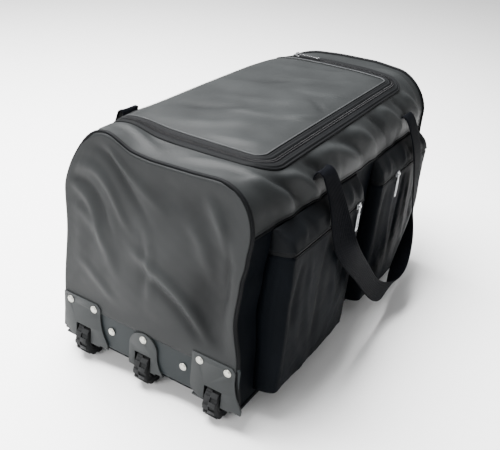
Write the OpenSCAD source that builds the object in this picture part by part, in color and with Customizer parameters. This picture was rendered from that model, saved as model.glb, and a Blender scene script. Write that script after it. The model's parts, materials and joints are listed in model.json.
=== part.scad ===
// Rolling duffel bag: a soft body on three wheels at one end, with a zipped
// lid, two pockets on each long side, two carry handles and a tow handle.
// Lengths are in millimetres. The body is drawn level, with x from the wheel
// end to the tow end, y across it (minus is the near side) and z up from its
// base. stand() then sets it on the floor, on its wheels and its far edge.

/* [Body] */
// Length of the body from the wheel end to the tow end
bag_length = 640; // [600:5:780]
// Width of the body across its two long sides
bag_width = 340; // [320:5:410]
// Height of the body over its base at the wheel end
wheel_end_height = 362; // [340:2:440]
// Height of the body over its base at the tow end
tow_end_height = 390; // [370:2:470]
// Radius of the two rounded shoulders
shoulder_radius = 60; // [54:1:66]
// Thickness of the fabric panels with their foam
panel = 3; // [2:0.5:4]
// Radius of the piping round each end
piping_radius = 3; // [2:0.5:4]
// Thickness of the stiffening boards inside
board = 3; // [2:0.5:4]

/* [Lid] */
// Distance from each end of the body to the lid
lid_end_gap = 68; // [60:1:90]
// Distance from the middle line to the long run of the zip
lid_reach = 132; // [112:1:140]
// Distance from the middle line to the lid's hinge line
hinge_reach = 126; // [112:1:135]
// Corner radius of the lid
lid_corner = 34; // [30:1:45]
// Width of the tape on each side of the zip
tape_width = 11; // [8:0.5:14]
// Thickness of zip tape and webbing trim
tape = 1.2; // [0.8:0.1:1.6]
// Width of one half of the zip's chain
chain_half = 2.2; // [1.8:0.1:2.6]
// Clearance between the two halves of the chain
chain_gap = 0.4; // [0.3:0.05:0.6]

/* [Wheels] */
// Outer radius of the tyres
wheel_radius = 35; // [30:0.5:42]
// Width of a tyre
tyre_width = 23; // [18:1:26]
// Radius where tyre and hub meet
rim_radius = 24; // [20:0.5:26]
// Height of the tread lugs
lug_height = 2.6; // [1.5:0.1:3]
// Lugs in each row of the tread
lug_count = 14; // [10:1:20]
// Spokes of a hub
spoke_count = 6; // [4:1:8]
// Distance from the body's end to the axles
axle_inset = 22; // [20:0.5:28]
// Distance of the axles below the base
axle_drop = 3.5; // [2:0.5:8]
// Radius of an axle
axle_radius = 3; // [2:0.25:4]
// Radial clearance between hub and axle
axle_play = 0.05; // [0.02:0.01:0.1]
// Distance from the middle line to the outer wheels
wheel_spread = 127; // [118:1:130]
// Sideways place of the middle wheel
middle_wheel_y = 5; // [-8:1:8]

/* [Wheel housings] */
// Thickness of the moulded plates
plate = 2.8; // [2:0.2:4]
// Height of the outer plates over the base
plate_height = 77; // [74:1:84]
// Clearance round a wheel in its well
well_play = 4; // [3:0.5:6]
// Space beside a wheel in its well
well_side = 4; // [3:0.5:6]
// Height of the kick strip's top edge
strip_top = 75; // [72:1:80]
// Thickness of the kick strip
strip = 1.2; // [0.8:0.1:2]
// Head radius of a rivet
rivet_head = 6.3; // [5:0.1:7]
// Shank radius of a rivet
rivet_shank = 2; // [1.5:0.1:2.5]
// Radial clearance of a rivet's hole
rivet_play = 0.1; // [0.05:0.05:0.3]

/* [Pockets] */
// Length of a side pocket
pocket_length = 245; // [200:5:250]
// Distance from the wheel end to the first pocket
pocket_start = 45; // [35:5:60]
// Depth that a pocket stands out
pocket_depth = 33; // [24:0.1:40]
// Height of a pocket's bottom over the base
pocket_bottom = 18; // [12:1:30]
// Distance of the zip slot's lower edge below the side seam
mouth_below_seam = 46; // [40:1:60]
// Height of the zip slot
mouth_gap = 7; // [6:0.5:8]
// Wall of a pocket
pocket_wall = 2.5; // [1.5:0.5:3]

/* [Zip sliders] */
// Length of a slider along its zip
slider_length = 13; // [10:1:16]
// Width of a slider across its zip
slider_width = 9; // [8:0.5:11]
// Clearance between a slider and the chain under it
slider_play = 0.4; // [0.3:0.05:0.6]
// Length of a pull
pull_length = 46; // [36:1:52]
// Width of a pull
pull_width = 9; // [7:0.5:11]
// Thickness of a pull
pull_thick = 1.6; // [1.2:0.1:2]

/* [Handles] */
// Width of the handle webbing
webbing = 40; // [30:0.1:45]
// Thickness of the handle webbing
webbing_thick = 2.4; // [1.8:0.2:3]
// Distance between the two straps of a carry handle
strap_spacing = 360; // [320:5:400]
// Distance of a carry handle's middle beyond the body's middle
handle_shift = 16; // [-20:2:30]
// Rise from the side seam to the fold where a carry handle hangs
fold_rise = 36; // [30:1:44]
// Distance that a carry handle hangs clear of the pockets at their zips
hang_clear = 13; // [11:1:18]
// Further distance that a carry handle stands out at its lowest
hang_slope = 24; // [10:1:40]
// Height of a carry handle's lowest edge over the base
hang_low = 62; // [40:1:90]
// Outer corner radius of a carry handle
handle_corner = 90; // [60:5:110]
// Height of the tow handle's anchors
tow_height = 232; // [200:2:260]
// Spacing of the tow handle's straps
tow_spacing = 130; // [110:5:150]
// Width of the tow handle's webbing
tow_webbing = 30; // [25:1:34]
// Drop of the tow handle from its anchors to its grip
tow_drop = 92; // [80:1:110]
// Radius of the tow handle's grip
grip_radius = 14; // [11:0.5:16]
// Radius of the webbing core inside the grip
grip_core = 5; // [4:0.5:7]

/* [Hidden] */
$fn = 96;

fabric = "#33363a";
sheen_fabric = "#2a2d33";
trim = "#17181a";
moulding = "#4a4d50";
rubber = "#1c1d1f";
metal = "#b9bbbd";
play = 0.3;

half = bag_width / 2;
flat_half = half - shoulder_radius;
seam_z = wheel_end_height - shoulder_radius;
pitch = atan((tow_end_height - wheel_end_height) / bag_length);
over_all = 2 * tow_end_height;

// The bag leans on the floor: the wheels lift one end, and the far edge of
// the base rests. The floor line is tangent to the wheels and meets the edge.
axle_back = bag_length - axle_inset;
tilt = atan(axle_drop / axle_back)
    + asin(wheel_radius / sqrt(axle_back * axle_back + axle_drop * axle_drop));

// Ends of the whole object along the floor, which set the origin between them
tow_pivot = 5;
tow_out = grip_radius + 2;
grip_z = tow_height - tow_drop;
front_x = -axle_back * cos(tilt) - axle_drop * sin(tilt) - wheel_radius;
back_x = tow_out * cos(tilt) + grip_z * sin(tilt) + grip_radius;
middle_x = (front_x + back_x) / 2;

lid_x0 = lid_end_gap;
lid_x1 = bag_length - lid_end_gap;
chain_top = 2;
lid_edge = 2 * chain_half + chain_gap;
lid_tape_in = lid_edge + tape_width;
slider_rest_y = 84;

plate_face = -strip - plate;
inner_half = tyre_width / 2 + well_side;
outer_half = inner_half + plate;
well_inner = wheel_radius + well_play;
well_outer = well_inner + plate;
axle_head = 1.6;
board_face = panel + board;
rivet_out = 2.4;

plate_left = 41;
plate_top_width = 76;
plate_round = 20;
flare = 16;
flare_drop = 52;
middle_dome = 27;
middle_flare = 14;
plate_rivet_z = 66;
middle_rivet_z = 53;
strip_rivet_z = 37;
strip_rivet_y = 70;
plate_rivet_y = [27, -22];

pocket_mouth = seam_z - mouth_below_seam;
hood_top = seam_z - 6;
zip_z = pocket_mouth + mouth_gap / 2;
pocket_end_gap = bag_length - 25 - pocket_start - 2 * pocket_length;
pocket_chain = 2;
slider_back = pocket_depth + slider_play;
slider_thick = 3.6;
post_radius = 1.1;
eye_radius = 1.6;
pull_gap = 0.4;

handle_middle = bag_length / 2 + handle_shift;
fold_height = seam_z + fold_rise;
hang_out = pocket_depth + hang_clear;
hang_low_out = hang_out + hang_slope;
tab_out = webbing_thick;
pivot_out = webbing_thick + 2.2;
pivot_radius = 1.6;
bend_z = zip_z + 2;

// ---- helpers ----

// Sets the level body down on its wheels and its far edge
module stand() {
    translate([-middle_x, 0, 0])
        rotate([0, tilt, 0])
            translate([-bag_length, 0, 0])
                children();
}

// Outline of the body above a height, across its length, grown by a distance
module arch_2d(top = wheel_end_height, grow = 0, from_z = 0) {
    r = shoulder_radius + grow;
    intersection() {
        union() {
            translate([-half - grow, -over_all])
                square([bag_width + 2 * grow, over_all + top - shoulder_radius]);
            translate([-flat_half, -over_all])
                square([2 * flat_half, over_all + top + grow]);
            for (side = [-1, 1])
                translate([side * flat_half, top - shoulder_radius]) circle(r);
        }
        translate([-bag_width, from_z]) square([2 * bag_width, over_all]);
    }
}

// Frame whose x runs along the rising top and whose z is square to it
module pitched() {
    translate([0, 0, wheel_end_height]) rotate([0, -pitch, 0])
        translate([0, 0, -wheel_end_height]) children();
}

// Layer of the skin over the top, between two distances from its outer face
module arch_layer(inner, outer) {
    low = seam_z - shoulder_radius;
    rotate([90, 0, 90]) translate([0, 0, -shoulder_radius])
        linear_extrude(bag_length + 2 * shoulder_radius) difference() {
            arch_2d(wheel_end_height, outer, low);
            arch_2d(wheel_end_height, inner, low - 1);
        }
}

// Outline of the lid from above, drawn in by a distance on three sides
module lid_plan(inset, back_y) {
    r = lid_corner - inset;
    x0 = lid_x0 + inset;
    x1 = lid_x1 - inset;
    y0 = -lid_reach + inset;
    translate([x0 + r, y0]) square([x1 - x0 - 2 * r, back_y - y0]);
    translate([x0, y0 + r]) square([x1 - x0, back_y - y0 - r]);
    for (x = [x0 + r, x1 - r])
        translate([x, y0 + r]) circle(r);
}

// Band of the skin's layer between two insets of the lid's outline
module lid_band(outer_inset, inner_inset, low, high, back_y) {
    pitched() intersection() {
        arch_layer(low, high);
        linear_extrude(over_all) difference() {
            lid_plan(outer_inset, back_y);
            lid_plan(inner_inset, back_y + 1);
        }
    }
}

module along_x(x0, x1) {
    translate([x0, 0, 0]) rotate([90, 0, 90]) linear_extrude(x1 - x0) children();
}

module rod_y(y0, y1, r) {
    translate([0, y0, 0]) rotate([-90, 0, 0]) cylinder(h = y1 - y0, r = r);
}

module at_axle(y) {
    translate([axle_inset, y, -axle_drop]) children();
}

// Room for a wheel well, cut from whatever the housing passes through
module well_room() {
    for (y = [wheel_spread, middle_wheel_y, -wheel_spread])
        at_axle(y) rod_y(-outer_half - axle_head - play, outer_half + axle_head + play,
                         well_outer + play);
}

// Places of the rivets, as [y, z, face]
rivets = [
    for (side = [1, -1]) for (y = plate_rivet_y)
        [side * wheel_spread + y, plate_rivet_z, plate_face],
    [middle_wheel_y, middle_rivet_z, plate_face]
];
strip_spots = [for (side = [1, -1]) [side * strip_rivet_y, strip_rivet_z, -strip]];

module rivet_holes() {
    for (spot = concat(rivets, strip_spots))
        translate([plate_face - 1, spot[0], spot[1]])
            rotate([0, 90, 0])
                cylinder(h = board_face - plate_face + 2, r = rivet_shank + rivet_play);
}

module rivet(spot) {
    translate([spot[2], spot[0], spot[1]]) rotate([0, 90, 0]) {
        cylinder(h = board_face + 2.5 - spot[2], r = rivet_shank);
        mirror([0, 0, 1]) cylinder(h = rivet_out / 2, r = rivet_head);
        mirror([0, 0, 1]) cylinder(h = rivet_out, r1 = rivet_head, r2 = rivet_head - 2.2);
        translate([0, 0, board_face - spot[2] + 1])
            cylinder(h = 1.5, r = rivet_shank + 1.4);
    }
}

// ---- base ----

module base_panel() {
    color(sheen_fabric) stand() difference() {
        translate([0, -half, 0]) cube([bag_length, bag_width, panel]);
        well_room();
    }
}

module base_board() {
    color("#3b3d40") stand() difference() {
        translate([board_face + 2, -half + panel + 2, panel])
            cube([bag_length - 2 * board_face, bag_width - 2 * panel - 4, board]);
        well_room();
    }
}

// Half-round binding along both long edges of the base
module base_binding() {
    color(trim) stand() for (side = [-1, 1])
        along_x(panel, bag_length - panel) intersection() {
            translate([side * half, piping_radius]) circle(piping_radius);
            translate([side > 0 ? half : -half - 10, 0]) square([10, 10]);
        }
}

// ---- ends ----

module end_panel(x0, height) {
    along_x(x0, x0 + panel) arch_2d(height, 0, panel);
}

module wheel_end_panel() {
    color(fabric) stand() difference() {
        end_panel(0, wheel_end_height);
        well_room();
        rivet_holes();
    }
}

module tow_end_panel() {
    color(fabric) stand() end_panel(bag_length - panel, tow_end_height);
}

// Half-round bead that follows the arch at one end of the body
module end_piping(x, height) {
    spring_z = height - shoulder_radius;
    translate([x, 0, 0]) {
        for (side = [-1, 1]) {
            translate([0, side * half, 2 * piping_radius + play])
                linear_extrude(spring_z - 2 * piping_radius - play)
                    half_disc(side > 0 ? 90 : -90);
            translate([0, side * flat_half, spring_z])
                rotate([90, 0, side > 0 ? 90 : -90])
                    rotate_extrude(angle = 90)
                        translate([shoulder_radius, 0]) half_disc(0);
        }
        translate([0, -flat_half, height])
            rotate([-90, 0, 0])
                linear_extrude(2 * flat_half) half_disc(-90);
    }
}

module half_disc(turn) {
    rotate(turn) intersection() {
        circle(piping_radius);
        translate([0, -piping_radius]) square([piping_radius, 2 * piping_radius]);
    }
}

module wheel_end_piping() {
    color(trim) stand()
        end_piping(piping_radius, wheel_end_height + 2 * piping_radius * tan(pitch));
}

module tow_end_piping() {
    color(trim) stand() end_piping(bag_length - piping_radius, tow_end_height);
}

// ---- kick strip, boards and housings at the wheel end ----

module kick_strip() {
    color(sheen_fabric) stand() difference() {
        translate([-strip, -half + 1, 4]) cube([strip, bag_width - 2, strip_top - 4]);
        well_room();
        rivet_holes();
    }
}

module backing_board() {
    color("#3b3d40") stand() difference() {
        translate([panel, -half + panel + 4, panel + board])
            cube([board, bag_width - 2 * panel - 8, strip_top - 2]);
        well_room();
        rivet_holes();
    }
}

// Outer plate, seen from the wheel end, with its wheel at y = 0
module outer_plate_2d() {
    low_r = (flare * flare + flare_drop * flare_drop) / (2 * flare);
    right = plate_left - plate_top_width;
    difference() {
        union() {
            translate([right, plate_round])
                square([plate_top_width, plate_height - plate_round]);
            translate([right, 0])
                square([plate_top_width - plate_round, plate_round]);
            translate([plate_left - plate_round, plate_round]) circle(plate_round);
            difference() {
                translate([right - flare, 0]) square([flare, flare_drop + 8]);
                translate([right - low_r, flare_drop + 8]) circle(low_r);
            }
        }
        translate([right, plate_height]) rotate(45) square(9, center = true);
    }
}

// Middle plate: a dome with a flared foot on one side
module middle_plate_2d() {
    spring_z = middle_rivet_z + 11 - middle_dome;
    low_r = (middle_flare * middle_flare + spring_z * spring_z) / (2 * middle_flare);
    translate([-middle_dome, 0]) square([2 * middle_dome, spring_z]);
    translate([0, spring_z]) circle(middle_dome);
    difference() {
        translate([-middle_dome - middle_flare, 0]) square([middle_flare, spring_z]);
        translate([-middle_dome - low_r, spring_z]) circle(low_r);
    }
}

// One moulding: face plate, base flange, well and the cheeks of the axle
module housing(y, left, right) {
    difference() {
        union() {
            translate([plate_face, y, 0]) rotate([90, 0, 90])
                linear_extrude(plate) children();
            translate([plate_face, y - right, -plate])
                cube([74, left + right, plate]);
            intersection() {
                at_axle(y) rod_y(-outer_half, outer_half, well_outer);
                translate([-strip - plate, y - outer_half, -plate])
                    cube([well_outer * 2, 2 * outer_half, well_outer * 2]);
            }
            at_axle(y) rod_y(-outer_half, outer_half, 8);
        }
        at_axle(y) rod_y(-inner_half, inner_half, well_inner);
        at_axle(y) rod_y(-outer_half - 1, outer_half + 1, axle_radius + play);
        for (side = [-1, 1])
            at_axle(y) translate([0, side * (outer_half + axle_head), 0])
                rod_y(-axle_head, axle_head, axle_radius + 2 + play);
        rivet_holes();
    }
}

module far_wheel_housing() {
    color(moulding) stand() housing(wheel_spread, 36, 34) outer_plate_2d();
}

module middle_wheel_housing() {
    color(moulding) stand() housing(middle_wheel_y, 26, 26) middle_plate_2d();
}

module near_wheel_housing() {
    color(moulding) stand() housing(-wheel_spread, 36, 34) outer_plate_2d();
}

module housing_rivets() {
    color(metal) stand() for (spot = rivets) rivet(spot);
}

module strip_rivets() {
    color(metal) stand() for (spot = strip_spots) rivet(spot);
}

module rivet_washers() {
    color(metal) stand() for (spot = concat(rivets, strip_spots))
        translate([board_face, spot[0], spot[1]]) rotate([0, 90, 0]) difference() {
            cylinder(h = 1, r = rivet_head - 1);
            translate([0, 0, -1]) cylinder(h = 3, r = rivet_shank + rivet_play);
        }
}

// ---- wheels ----

module wheel_axles() {
    color(metal) stand() for (y = [wheel_spread, middle_wheel_y, -wheel_spread])
        at_axle(y) {
            rod_y(-outer_half, outer_half, axle_radius);
            rod_y(-outer_half - axle_head, -outer_half, axle_radius + 2);
            rod_y(outer_half, outer_half + axle_head, axle_radius + 2);
        }
}

// Tyre with two staggered rows of lugs, one lug straight down
module tyre(y) {
    tread = wheel_radius - lug_height;
    pitch = 360 / lug_count;
    lug = wheel_radius * 3.14159 / lug_count;
    at_axle(y) rotate([0, -tilt, 0]) difference() {
        union() {
            rod_y(-tyre_width / 2, tyre_width / 2, tread);
            intersection() {
                rod_y(-tyre_width / 2, tyre_width / 2, wheel_radius);
                for (row = [0, 1]) for (i = [0 : lug_count - 1])
                    rotate([0, (i + row / 2) * pitch, 0])
                        translate([-lug / 2, row * tyre_width / 2 - tyre_width / 2,
                                   -wheel_radius - 1])
                            cube([lug, tyre_width / 2 + 1 - 2 * row, lug_height + 4]);
            }
        }
        rod_y(-tyre_width, tyre_width, rim_radius);
    }
}

// Hub with a rim, spokes and a long boss that keeps the wheel centred
module hub(y) {
    boss = inner_half - play;
    rim = 3;
    at_axle(y) rotate([0, -tilt, 0]) difference() {
        union() {
            difference() {
                rod_y(-tyre_width / 2 + 1, tyre_width / 2 - 1, rim_radius);
                rod_y(-tyre_width, tyre_width, rim_radius - rim);
            }
            rod_y(-2, 2, rim_radius - rim / 2);
            rod_y(-boss, boss, 7);
            for (i = [0 : spoke_count - 1])
                rotate([0, i * 360 / spoke_count, 0])
                    translate([-1.5, -tyre_width / 2 + 2, 4])
                        cube([3, tyre_width - 4, rim_radius - rim - 3]);
        }
        rod_y(-boss - 1, boss + 1, axle_radius + axle_play);
    }
}

module far_wheel_tyre() { color(rubber) stand() tyre(wheel_spread); }
module middle_wheel_tyre() { color(rubber) stand() tyre(middle_wheel_y); }
module near_wheel_tyre() { color(rubber) stand() tyre(-wheel_spread); }
module far_wheel_hub() { color(moulding) stand() hub(wheel_spread); }
module middle_wheel_hub() { color(moulding) stand() hub(middle_wheel_y); }
module near_wheel_hub() { color(moulding) stand() hub(-wheel_spread); }

// ---- long sides and top ----

module side_panel(side) {
    translate([panel, side > 0 ? half - panel : -half, panel])
        cube([bag_length - 2 * panel, panel, seam_z - panel]);
}

module near_side_panel() { color(sheen_fabric) stand() side_panel(-1); }
module far_side_panel() { color(sheen_fabric) stand() side_panel(1); }

module top_panel() {
    color(fabric) stand() difference() {
        intersection() {
            pitched() arch_layer(-panel, 0);
            translate([panel, -bag_width, seam_z])
                cube([bag_length - 2 * panel, 2 * bag_width, over_all]);
        }
        pitched() linear_extrude(over_all) lid_plan(0, hinge_reach + play);
    }
}

module main_zip_body_half() {
    color(trim) stand() {
        lid_band(-tape_width, 0, 0, tape, hinge_reach - 2);
        lid_band(0, chain_half, -1, chain_top, hinge_reach - 16);
    }
}

module lid_hinge_tape() {
    color(trim) stand() pitched() intersection() {
        arch_layer(0, tape);
        translate([lid_x0 + 8, hinge_reach + play, 0])
            cube([lid_x1 - lid_x0 - 16, 12, over_all]);
    }
}

module lid_panel() {
    color(fabric) stand() pitched() intersection() {
        arch_layer(-panel, 0);
        linear_extrude(over_all) lid_plan(lid_edge, hinge_reach - play);
    }
}

module main_zip_lid_half() {
    color(trim) stand() {
        lid_band(lid_edge, lid_tape_in, 0, tape, hinge_reach - 8);
        lid_band(chain_half + chain_gap, lid_edge, -1, chain_top, hinge_reach - 16);
    }
}

module lid_piping() {
    color(trim) stand()
        lid_band(lid_tape_in, lid_tape_in + 3, 0, piping_radius, hinge_reach - 8);
}

// ---- pockets ----

function pocket_x(k) = pocket_start + k * (pocket_length + pocket_end_gap);

// Calls its children on one long side: minus is near, plus is far
module on_side(side) {
    mirror([0, side > 0 ? 1 : 0, 0]) translate([0, -half, 0]) mirror([0, 1, 0]) children();
}

// Pocket front with its gusset, open to the body and at its zip
module pocket(side, k) {
    on_side(side) translate([pocket_x(k), 0, 0]) difference() {
        translate([0, 0, pocket_bottom])
            cube([pocket_length, pocket_depth, zip_z + mouth_gap / 2 - pocket_bottom]);
        translate([pocket_wall, -1, pocket_bottom + pocket_wall])
            cube([pocket_length - 2 * pocket_wall, pocket_depth - pocket_wall + 1,
                  over_all]);
        translate([pocket_wall, pocket_depth - pocket_wall - 1, pocket_mouth])
            cube([pocket_length - 2 * pocket_wall, pocket_wall + 2, over_all]);
    }
}

// Sloping hood over the zip, from the pocket's front up to the side seam
module pocket_hood(side, k) {
    low = pocket_mouth + mouth_gap;
    run = pocket_depth - pocket_wall;
    rise = hood_top - low;
    on_side(side) translate([pocket_x(k), 0, 0]) difference() {
        along_x(0, pocket_length)
            polygon([[0, low], [pocket_depth, low], [pocket_wall, hood_top], [0, hood_top]]);
        along_x(pocket_wall, pocket_length - pocket_wall)
            polygon([[-1, low - 1], [run, low - 1], [run - 0.5, low],
                     [0, low + rise * (run - 0.5) / run], [-1, low + rise]]);
    }
}

module pocket_zip(side, k) {
    on_side(side) translate([pocket_x(k) + pocket_wall, 0, 0]) {
        translate([0, pocket_depth - tape, pocket_mouth])
            cube([pocket_length - 2 * pocket_wall, tape, mouth_gap]);
        translate([6, 0, 0]) along_x(0, pocket_length - 2 * pocket_wall - 12)
            translate([pocket_depth - 0.6, zip_z - pocket_chain / 2])
                square([1.6, pocket_chain]);
    }
}

module near_rear_pocket() { color(sheen_fabric) stand() pocket(-1, 0); }
module near_front_pocket() { color(sheen_fabric) stand() pocket(-1, 1); }
module far_rear_pocket() { color(sheen_fabric) stand() pocket(1, 0); }
module far_front_pocket() { color(sheen_fabric) stand() pocket(1, 1); }
module near_rear_pocket_hood() { color(fabric) stand() pocket_hood(-1, 0); }
module near_front_pocket_hood() { color(fabric) stand() pocket_hood(-1, 1); }
module far_rear_pocket_hood() { color(fabric) stand() pocket_hood(1, 0); }
module far_front_pocket_hood() { color(fabric) stand() pocket_hood(1, 1); }
module near_rear_pocket_zip() { color(trim) stand() pocket_zip(-1, 0); }
module near_front_pocket_zip() { color(trim) stand() pocket_zip(-1, 1); }
module far_rear_pocket_zip() { color(trim) stand() pocket_zip(1, 0); }
module far_front_pocket_zip() { color(trim) stand() pocket_zip(1, 1); }

// ---- zip sliders and pulls ----

// Rest place of each pocket's slider, towards the middle of the bag
function slider_x(k) = k == 0
    ? pocket_x(0) + pocket_length - 28
    : pocket_x(1) + 72;

post_out = slider_back + slider_thick;

// Slider with a channel over the chain and a capped post for the pull
module slider(side, k) {
    on_side(side) translate([slider_x(k), 0, zip_z]) {
        difference() {
            translate([-slider_length / 2, slider_back, -slider_width / 2])
                cube([slider_length, slider_thick, slider_width]);
            translate([-slider_length, slider_back - 1, -pocket_chain / 2 - slider_play])
                cube([2 * slider_length, 2 + slider_play, pocket_chain + 2 * slider_play]);
        }
        rod_y(post_out - 0.5, post_out + pull_thick + 2 * pull_gap + 1, post_radius);
        rod_y(post_out + pull_thick + 2 * pull_gap,
              post_out + pull_thick + 2 * pull_gap + 1, eye_radius + 1);
    }
}

// Flat pull outline that hangs down from its eye at the origin
module pull_2d() {
    difference() {
        union() {
            circle(4);
            translate([-2.6, -pull_length * 0.45]) square([5.2, pull_length * 0.45]);
            translate([-pull_width / 2, -pull_length + pull_width / 2])
                square([pull_width, pull_length * 0.72 - pull_width / 2]);
            translate([0, -pull_length + pull_width / 2]) circle(pull_width / 2);
        }
        circle(eye_radius);
        translate([-1.8, -pull_length * 0.86]) square([3.6, pull_length * 0.5]);
    }
}

// Pull that hangs plumb from the slider's post
module pull(side, k) {
    on_side(side) translate([slider_x(k), post_out + pull_gap, zip_z])
        rotate([0, -tilt, 0])
            translate([0, pull_thick, 0]) rotate([90, 0, 0])
                linear_extrude(pull_thick) pull_2d();
}

module near_rear_slider() { color(metal) stand() slider(-1, 0); }
module near_rear_pull() { color(metal) stand() pull(-1, 0); }
module near_front_slider() { color(metal) stand() slider(-1, 1); }
module near_front_pull() { color(metal) stand() pull(-1, 1); }
module far_rear_slider() { color(metal) stand() slider(1, 0); }
module far_rear_pull() { color(metal) stand() pull(1, 0); }
module far_front_slider() { color(metal) stand() slider(1, 1); }
module far_front_pull() { color(metal) stand() pull(1, 1); }

main_zip_x = lid_x1 - chain_half - chain_gap / 2;
main_pin_z = wheel_end_height + chain_top + slider_play + 5.2;

// Slider on the run of the lid's zip across the tow end
module main_slider() {
    color(metal) stand() pitched() translate([main_zip_x, slider_rest_y,
                                              wheel_end_height + chain_top + slider_play]) {
        translate([-slider_width / 2, -slider_length / 2, 0])
            cube([slider_width, slider_length, 2.4]);
        for (x = [-slider_width / 2, slider_width / 2 - 1.6])
            translate([x, -2, 0]) cube([1.6, 4, 6.8]);
        translate([-slider_width / 2, 0, 5.2]) rotate([0, 90, 0])
            cylinder(h = slider_width, r = post_radius);
    }
}

// Pull that lies flat along the zip, with its eye round the slider's pin
module main_pull() {
    eye = slider_width - 3.2 - 2 * play;
    color(metal) stand() pitched() translate([main_zip_x, slider_rest_y, main_pin_z]) difference() {
        union() {
            translate([-eye / 2, 0, 0]) rotate([0, 90, 0])
                cylinder(h = eye, r = eye_radius + 0.9);
            translate([-eye / 2, -pull_length, -pull_thick / 2])
                cube([eye, pull_length, pull_thick]);
            translate([0, -pull_length, -pull_thick / 2])
                cylinder(h = pull_thick, r = pull_width / 2);
        }
        translate([-eye, 0, 0]) rotate([0, 90, 0]) cylinder(h = 2 * eye, r = eye_radius);
        translate([0, -pull_length, -pull_thick]) cylinder(h = 2 * pull_thick, r = 2);
    }
}

// ---- handles ----

strap_x = [handle_middle - strap_spacing / 2, handle_middle + strap_spacing / 2];

// Doubled webbing from the side seam up to the fold
module handle_tabs(side) {
    on_side(side) for (x = strap_x)
        translate([x - webbing / 2, 0, hood_top + play])
            cube([webbing, tab_out, fold_height - hood_top - 3.2]);
}

// Flat loop of the handle below its bend, with v measured down from the bend
module loop_2d(drop) {
    r = handle_corner;
    a = strap_x[0] - webbing / 2;
    b = strap_x[1] + webbing / 2;
    for (x = [a, b - webbing])
        translate([x, -drop + r]) square([webbing, drop - r]);
    translate([a + r, -drop]) square([b - a - 2 * r, webbing]);
    for (end = [0, 1])
        translate([end == 0 ? a + r : b - r, -drop + r])
            intersection() {
                difference() {
                    circle(r);
                    circle(r - webbing);
                }
                translate([end == 0 ? -r : 0, -r]) square([r, r]);
            }
}

// Carry handle: from the fold out over the pockets, then down in one loop
module carry_handle(side) {
    drop_z = bend_z - hang_low;
    lean = atan((hang_low_out - hang_out) / drop_z);
    first = sqrt(pow(fold_height - bend_z, 2) + pow(hang_out - pivot_out, 2));
    first_lean = atan((hang_out - pivot_out) / (fold_height - bend_z));
    on_side(side) {
        for (x = strap_x) translate([x - webbing / 2, 0, 0]) {
            translate([-0.5, pivot_out, fold_height]) rotate([0, 90, 0])
                cylinder(h = webbing + 1, r = pivot_radius);
            translate([0, pivot_out, fold_height]) rotate([first_lean, 0, 0])
                translate([0, -webbing_thick / 2, -first]) cube([webbing, webbing_thick, first]);
            translate([-0.5, hang_out, bend_z]) rotate([0, 90, 0])
                cylinder(h = webbing + 1, r = webbing_thick / 2 + 0.3);
        }
        translate([0, hang_out, bend_z]) rotate([lean, 0, 0])
            translate([0, webbing_thick / 2, 0]) rotate([90, 0, 0])
                linear_extrude(webbing_thick) loop_2d(drop_z / cos(lean));
    }
}

module near_handle_tabs() { color(trim) stand() handle_tabs(-1); }
module far_handle_tabs() { color(trim) stand() handle_tabs(1); }
module near_carry_handle() { color(trim) stand() carry_handle(-1); }
module far_carry_handle() { color(trim) stand() carry_handle(1); }

module tow_handle_anchors() {
    color(trim) stand() for (side = [-1, 1])
        translate([bag_length, side * tow_spacing / 2 - tow_webbing / 2 - 5, tow_height + 2.4])
            cube([webbing_thick, tow_webbing + 10, 44]);
}

// Straps of the tow handle and the folded core that runs through its grip
module tow_handle_strap() {
    lean = atan((tow_out - tow_pivot) / tow_drop);
    length = sqrt(pow(tow_out - tow_pivot, 2) + pow(tow_drop, 2));
    reach = (tow_spacing + tow_webbing) / 2 + 2;
    color(trim) stand() {
        for (side = [-1, 1])
            translate([bag_length + tow_pivot, side * tow_spacing / 2 - tow_webbing / 2,
                       tow_height]) {
                rod_y(-0.5, tow_webbing + 0.5, pivot_radius);
                rotate([0, -lean, 0]) translate([-webbing_thick / 2, 0, -length])
                    cube([webbing_thick, tow_webbing, length]);
            }
        translate([bag_length + tow_out, 0, grip_z]) rod_y(-reach, reach, grip_core);
    }
}

module tow_handle_grip() {
    reach = (tow_spacing - tow_webbing) / 2 - 1;
    color(rubber) stand() translate([bag_length + tow_out, 0, grip_z]) difference() {
        rod_y(-reach, reach, grip_radius);
        rod_y(-reach - 1, reach + 1, grip_core);
    }
}

base_panel();
base_board();
base_binding();
wheel_end_panel();
tow_end_panel();
near_side_panel();
far_side_panel();
top_panel();
wheel_end_piping();
tow_end_piping();
kick_strip();
backing_board();
main_zip_body_half();
lid_hinge_tape();
far_wheel_housing();
middle_wheel_housing();
near_wheel_housing();
housing_rivets();
strip_rivets();
rivet_washers();
wheel_axles();
near_rear_pocket();
near_front_pocket();
far_rear_pocket();
far_front_pocket();
near_rear_pocket_hood();
near_front_pocket_hood();
far_rear_pocket_hood();
far_front_pocket_hood();
near_rear_pocket_zip();
near_front_pocket_zip();
far_rear_pocket_zip();
far_front_pocket_zip();
near_handle_tabs();
far_handle_tabs();
tow_handle_anchors();
lid_panel();
main_zip_lid_half();
lid_piping();
main_slider();
main_pull();
near_rear_slider();
near_rear_pull();
near_front_slider();
near_front_pull();
far_rear_slider();
far_rear_pull();
far_front_slider();
far_front_pull();
near_carry_handle();
far_carry_handle();
tow_handle_strap();
tow_handle_grip();
far_wheel_tyre();
far_wheel_hub();
middle_wheel_tyre();
middle_wheel_hub();
near_wheel_tyre();
near_wheel_hub();
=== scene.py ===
# %% [markdown]
# # A rolling duffel bag
# A soft body stands on three wheels at one end and on its base's far edge at the other.
# A zipped lid, two pockets on each long side, two carry handles and a tow handle are sewn to it.
# The rigid parts come from the CAD frame. The cloth is made here, because cloth sags and folds
# where a drawn solid is flat.

import json
import math

import bmesh
import bpy
import numpy as np
from mathutils import Matrix, Vector

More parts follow.
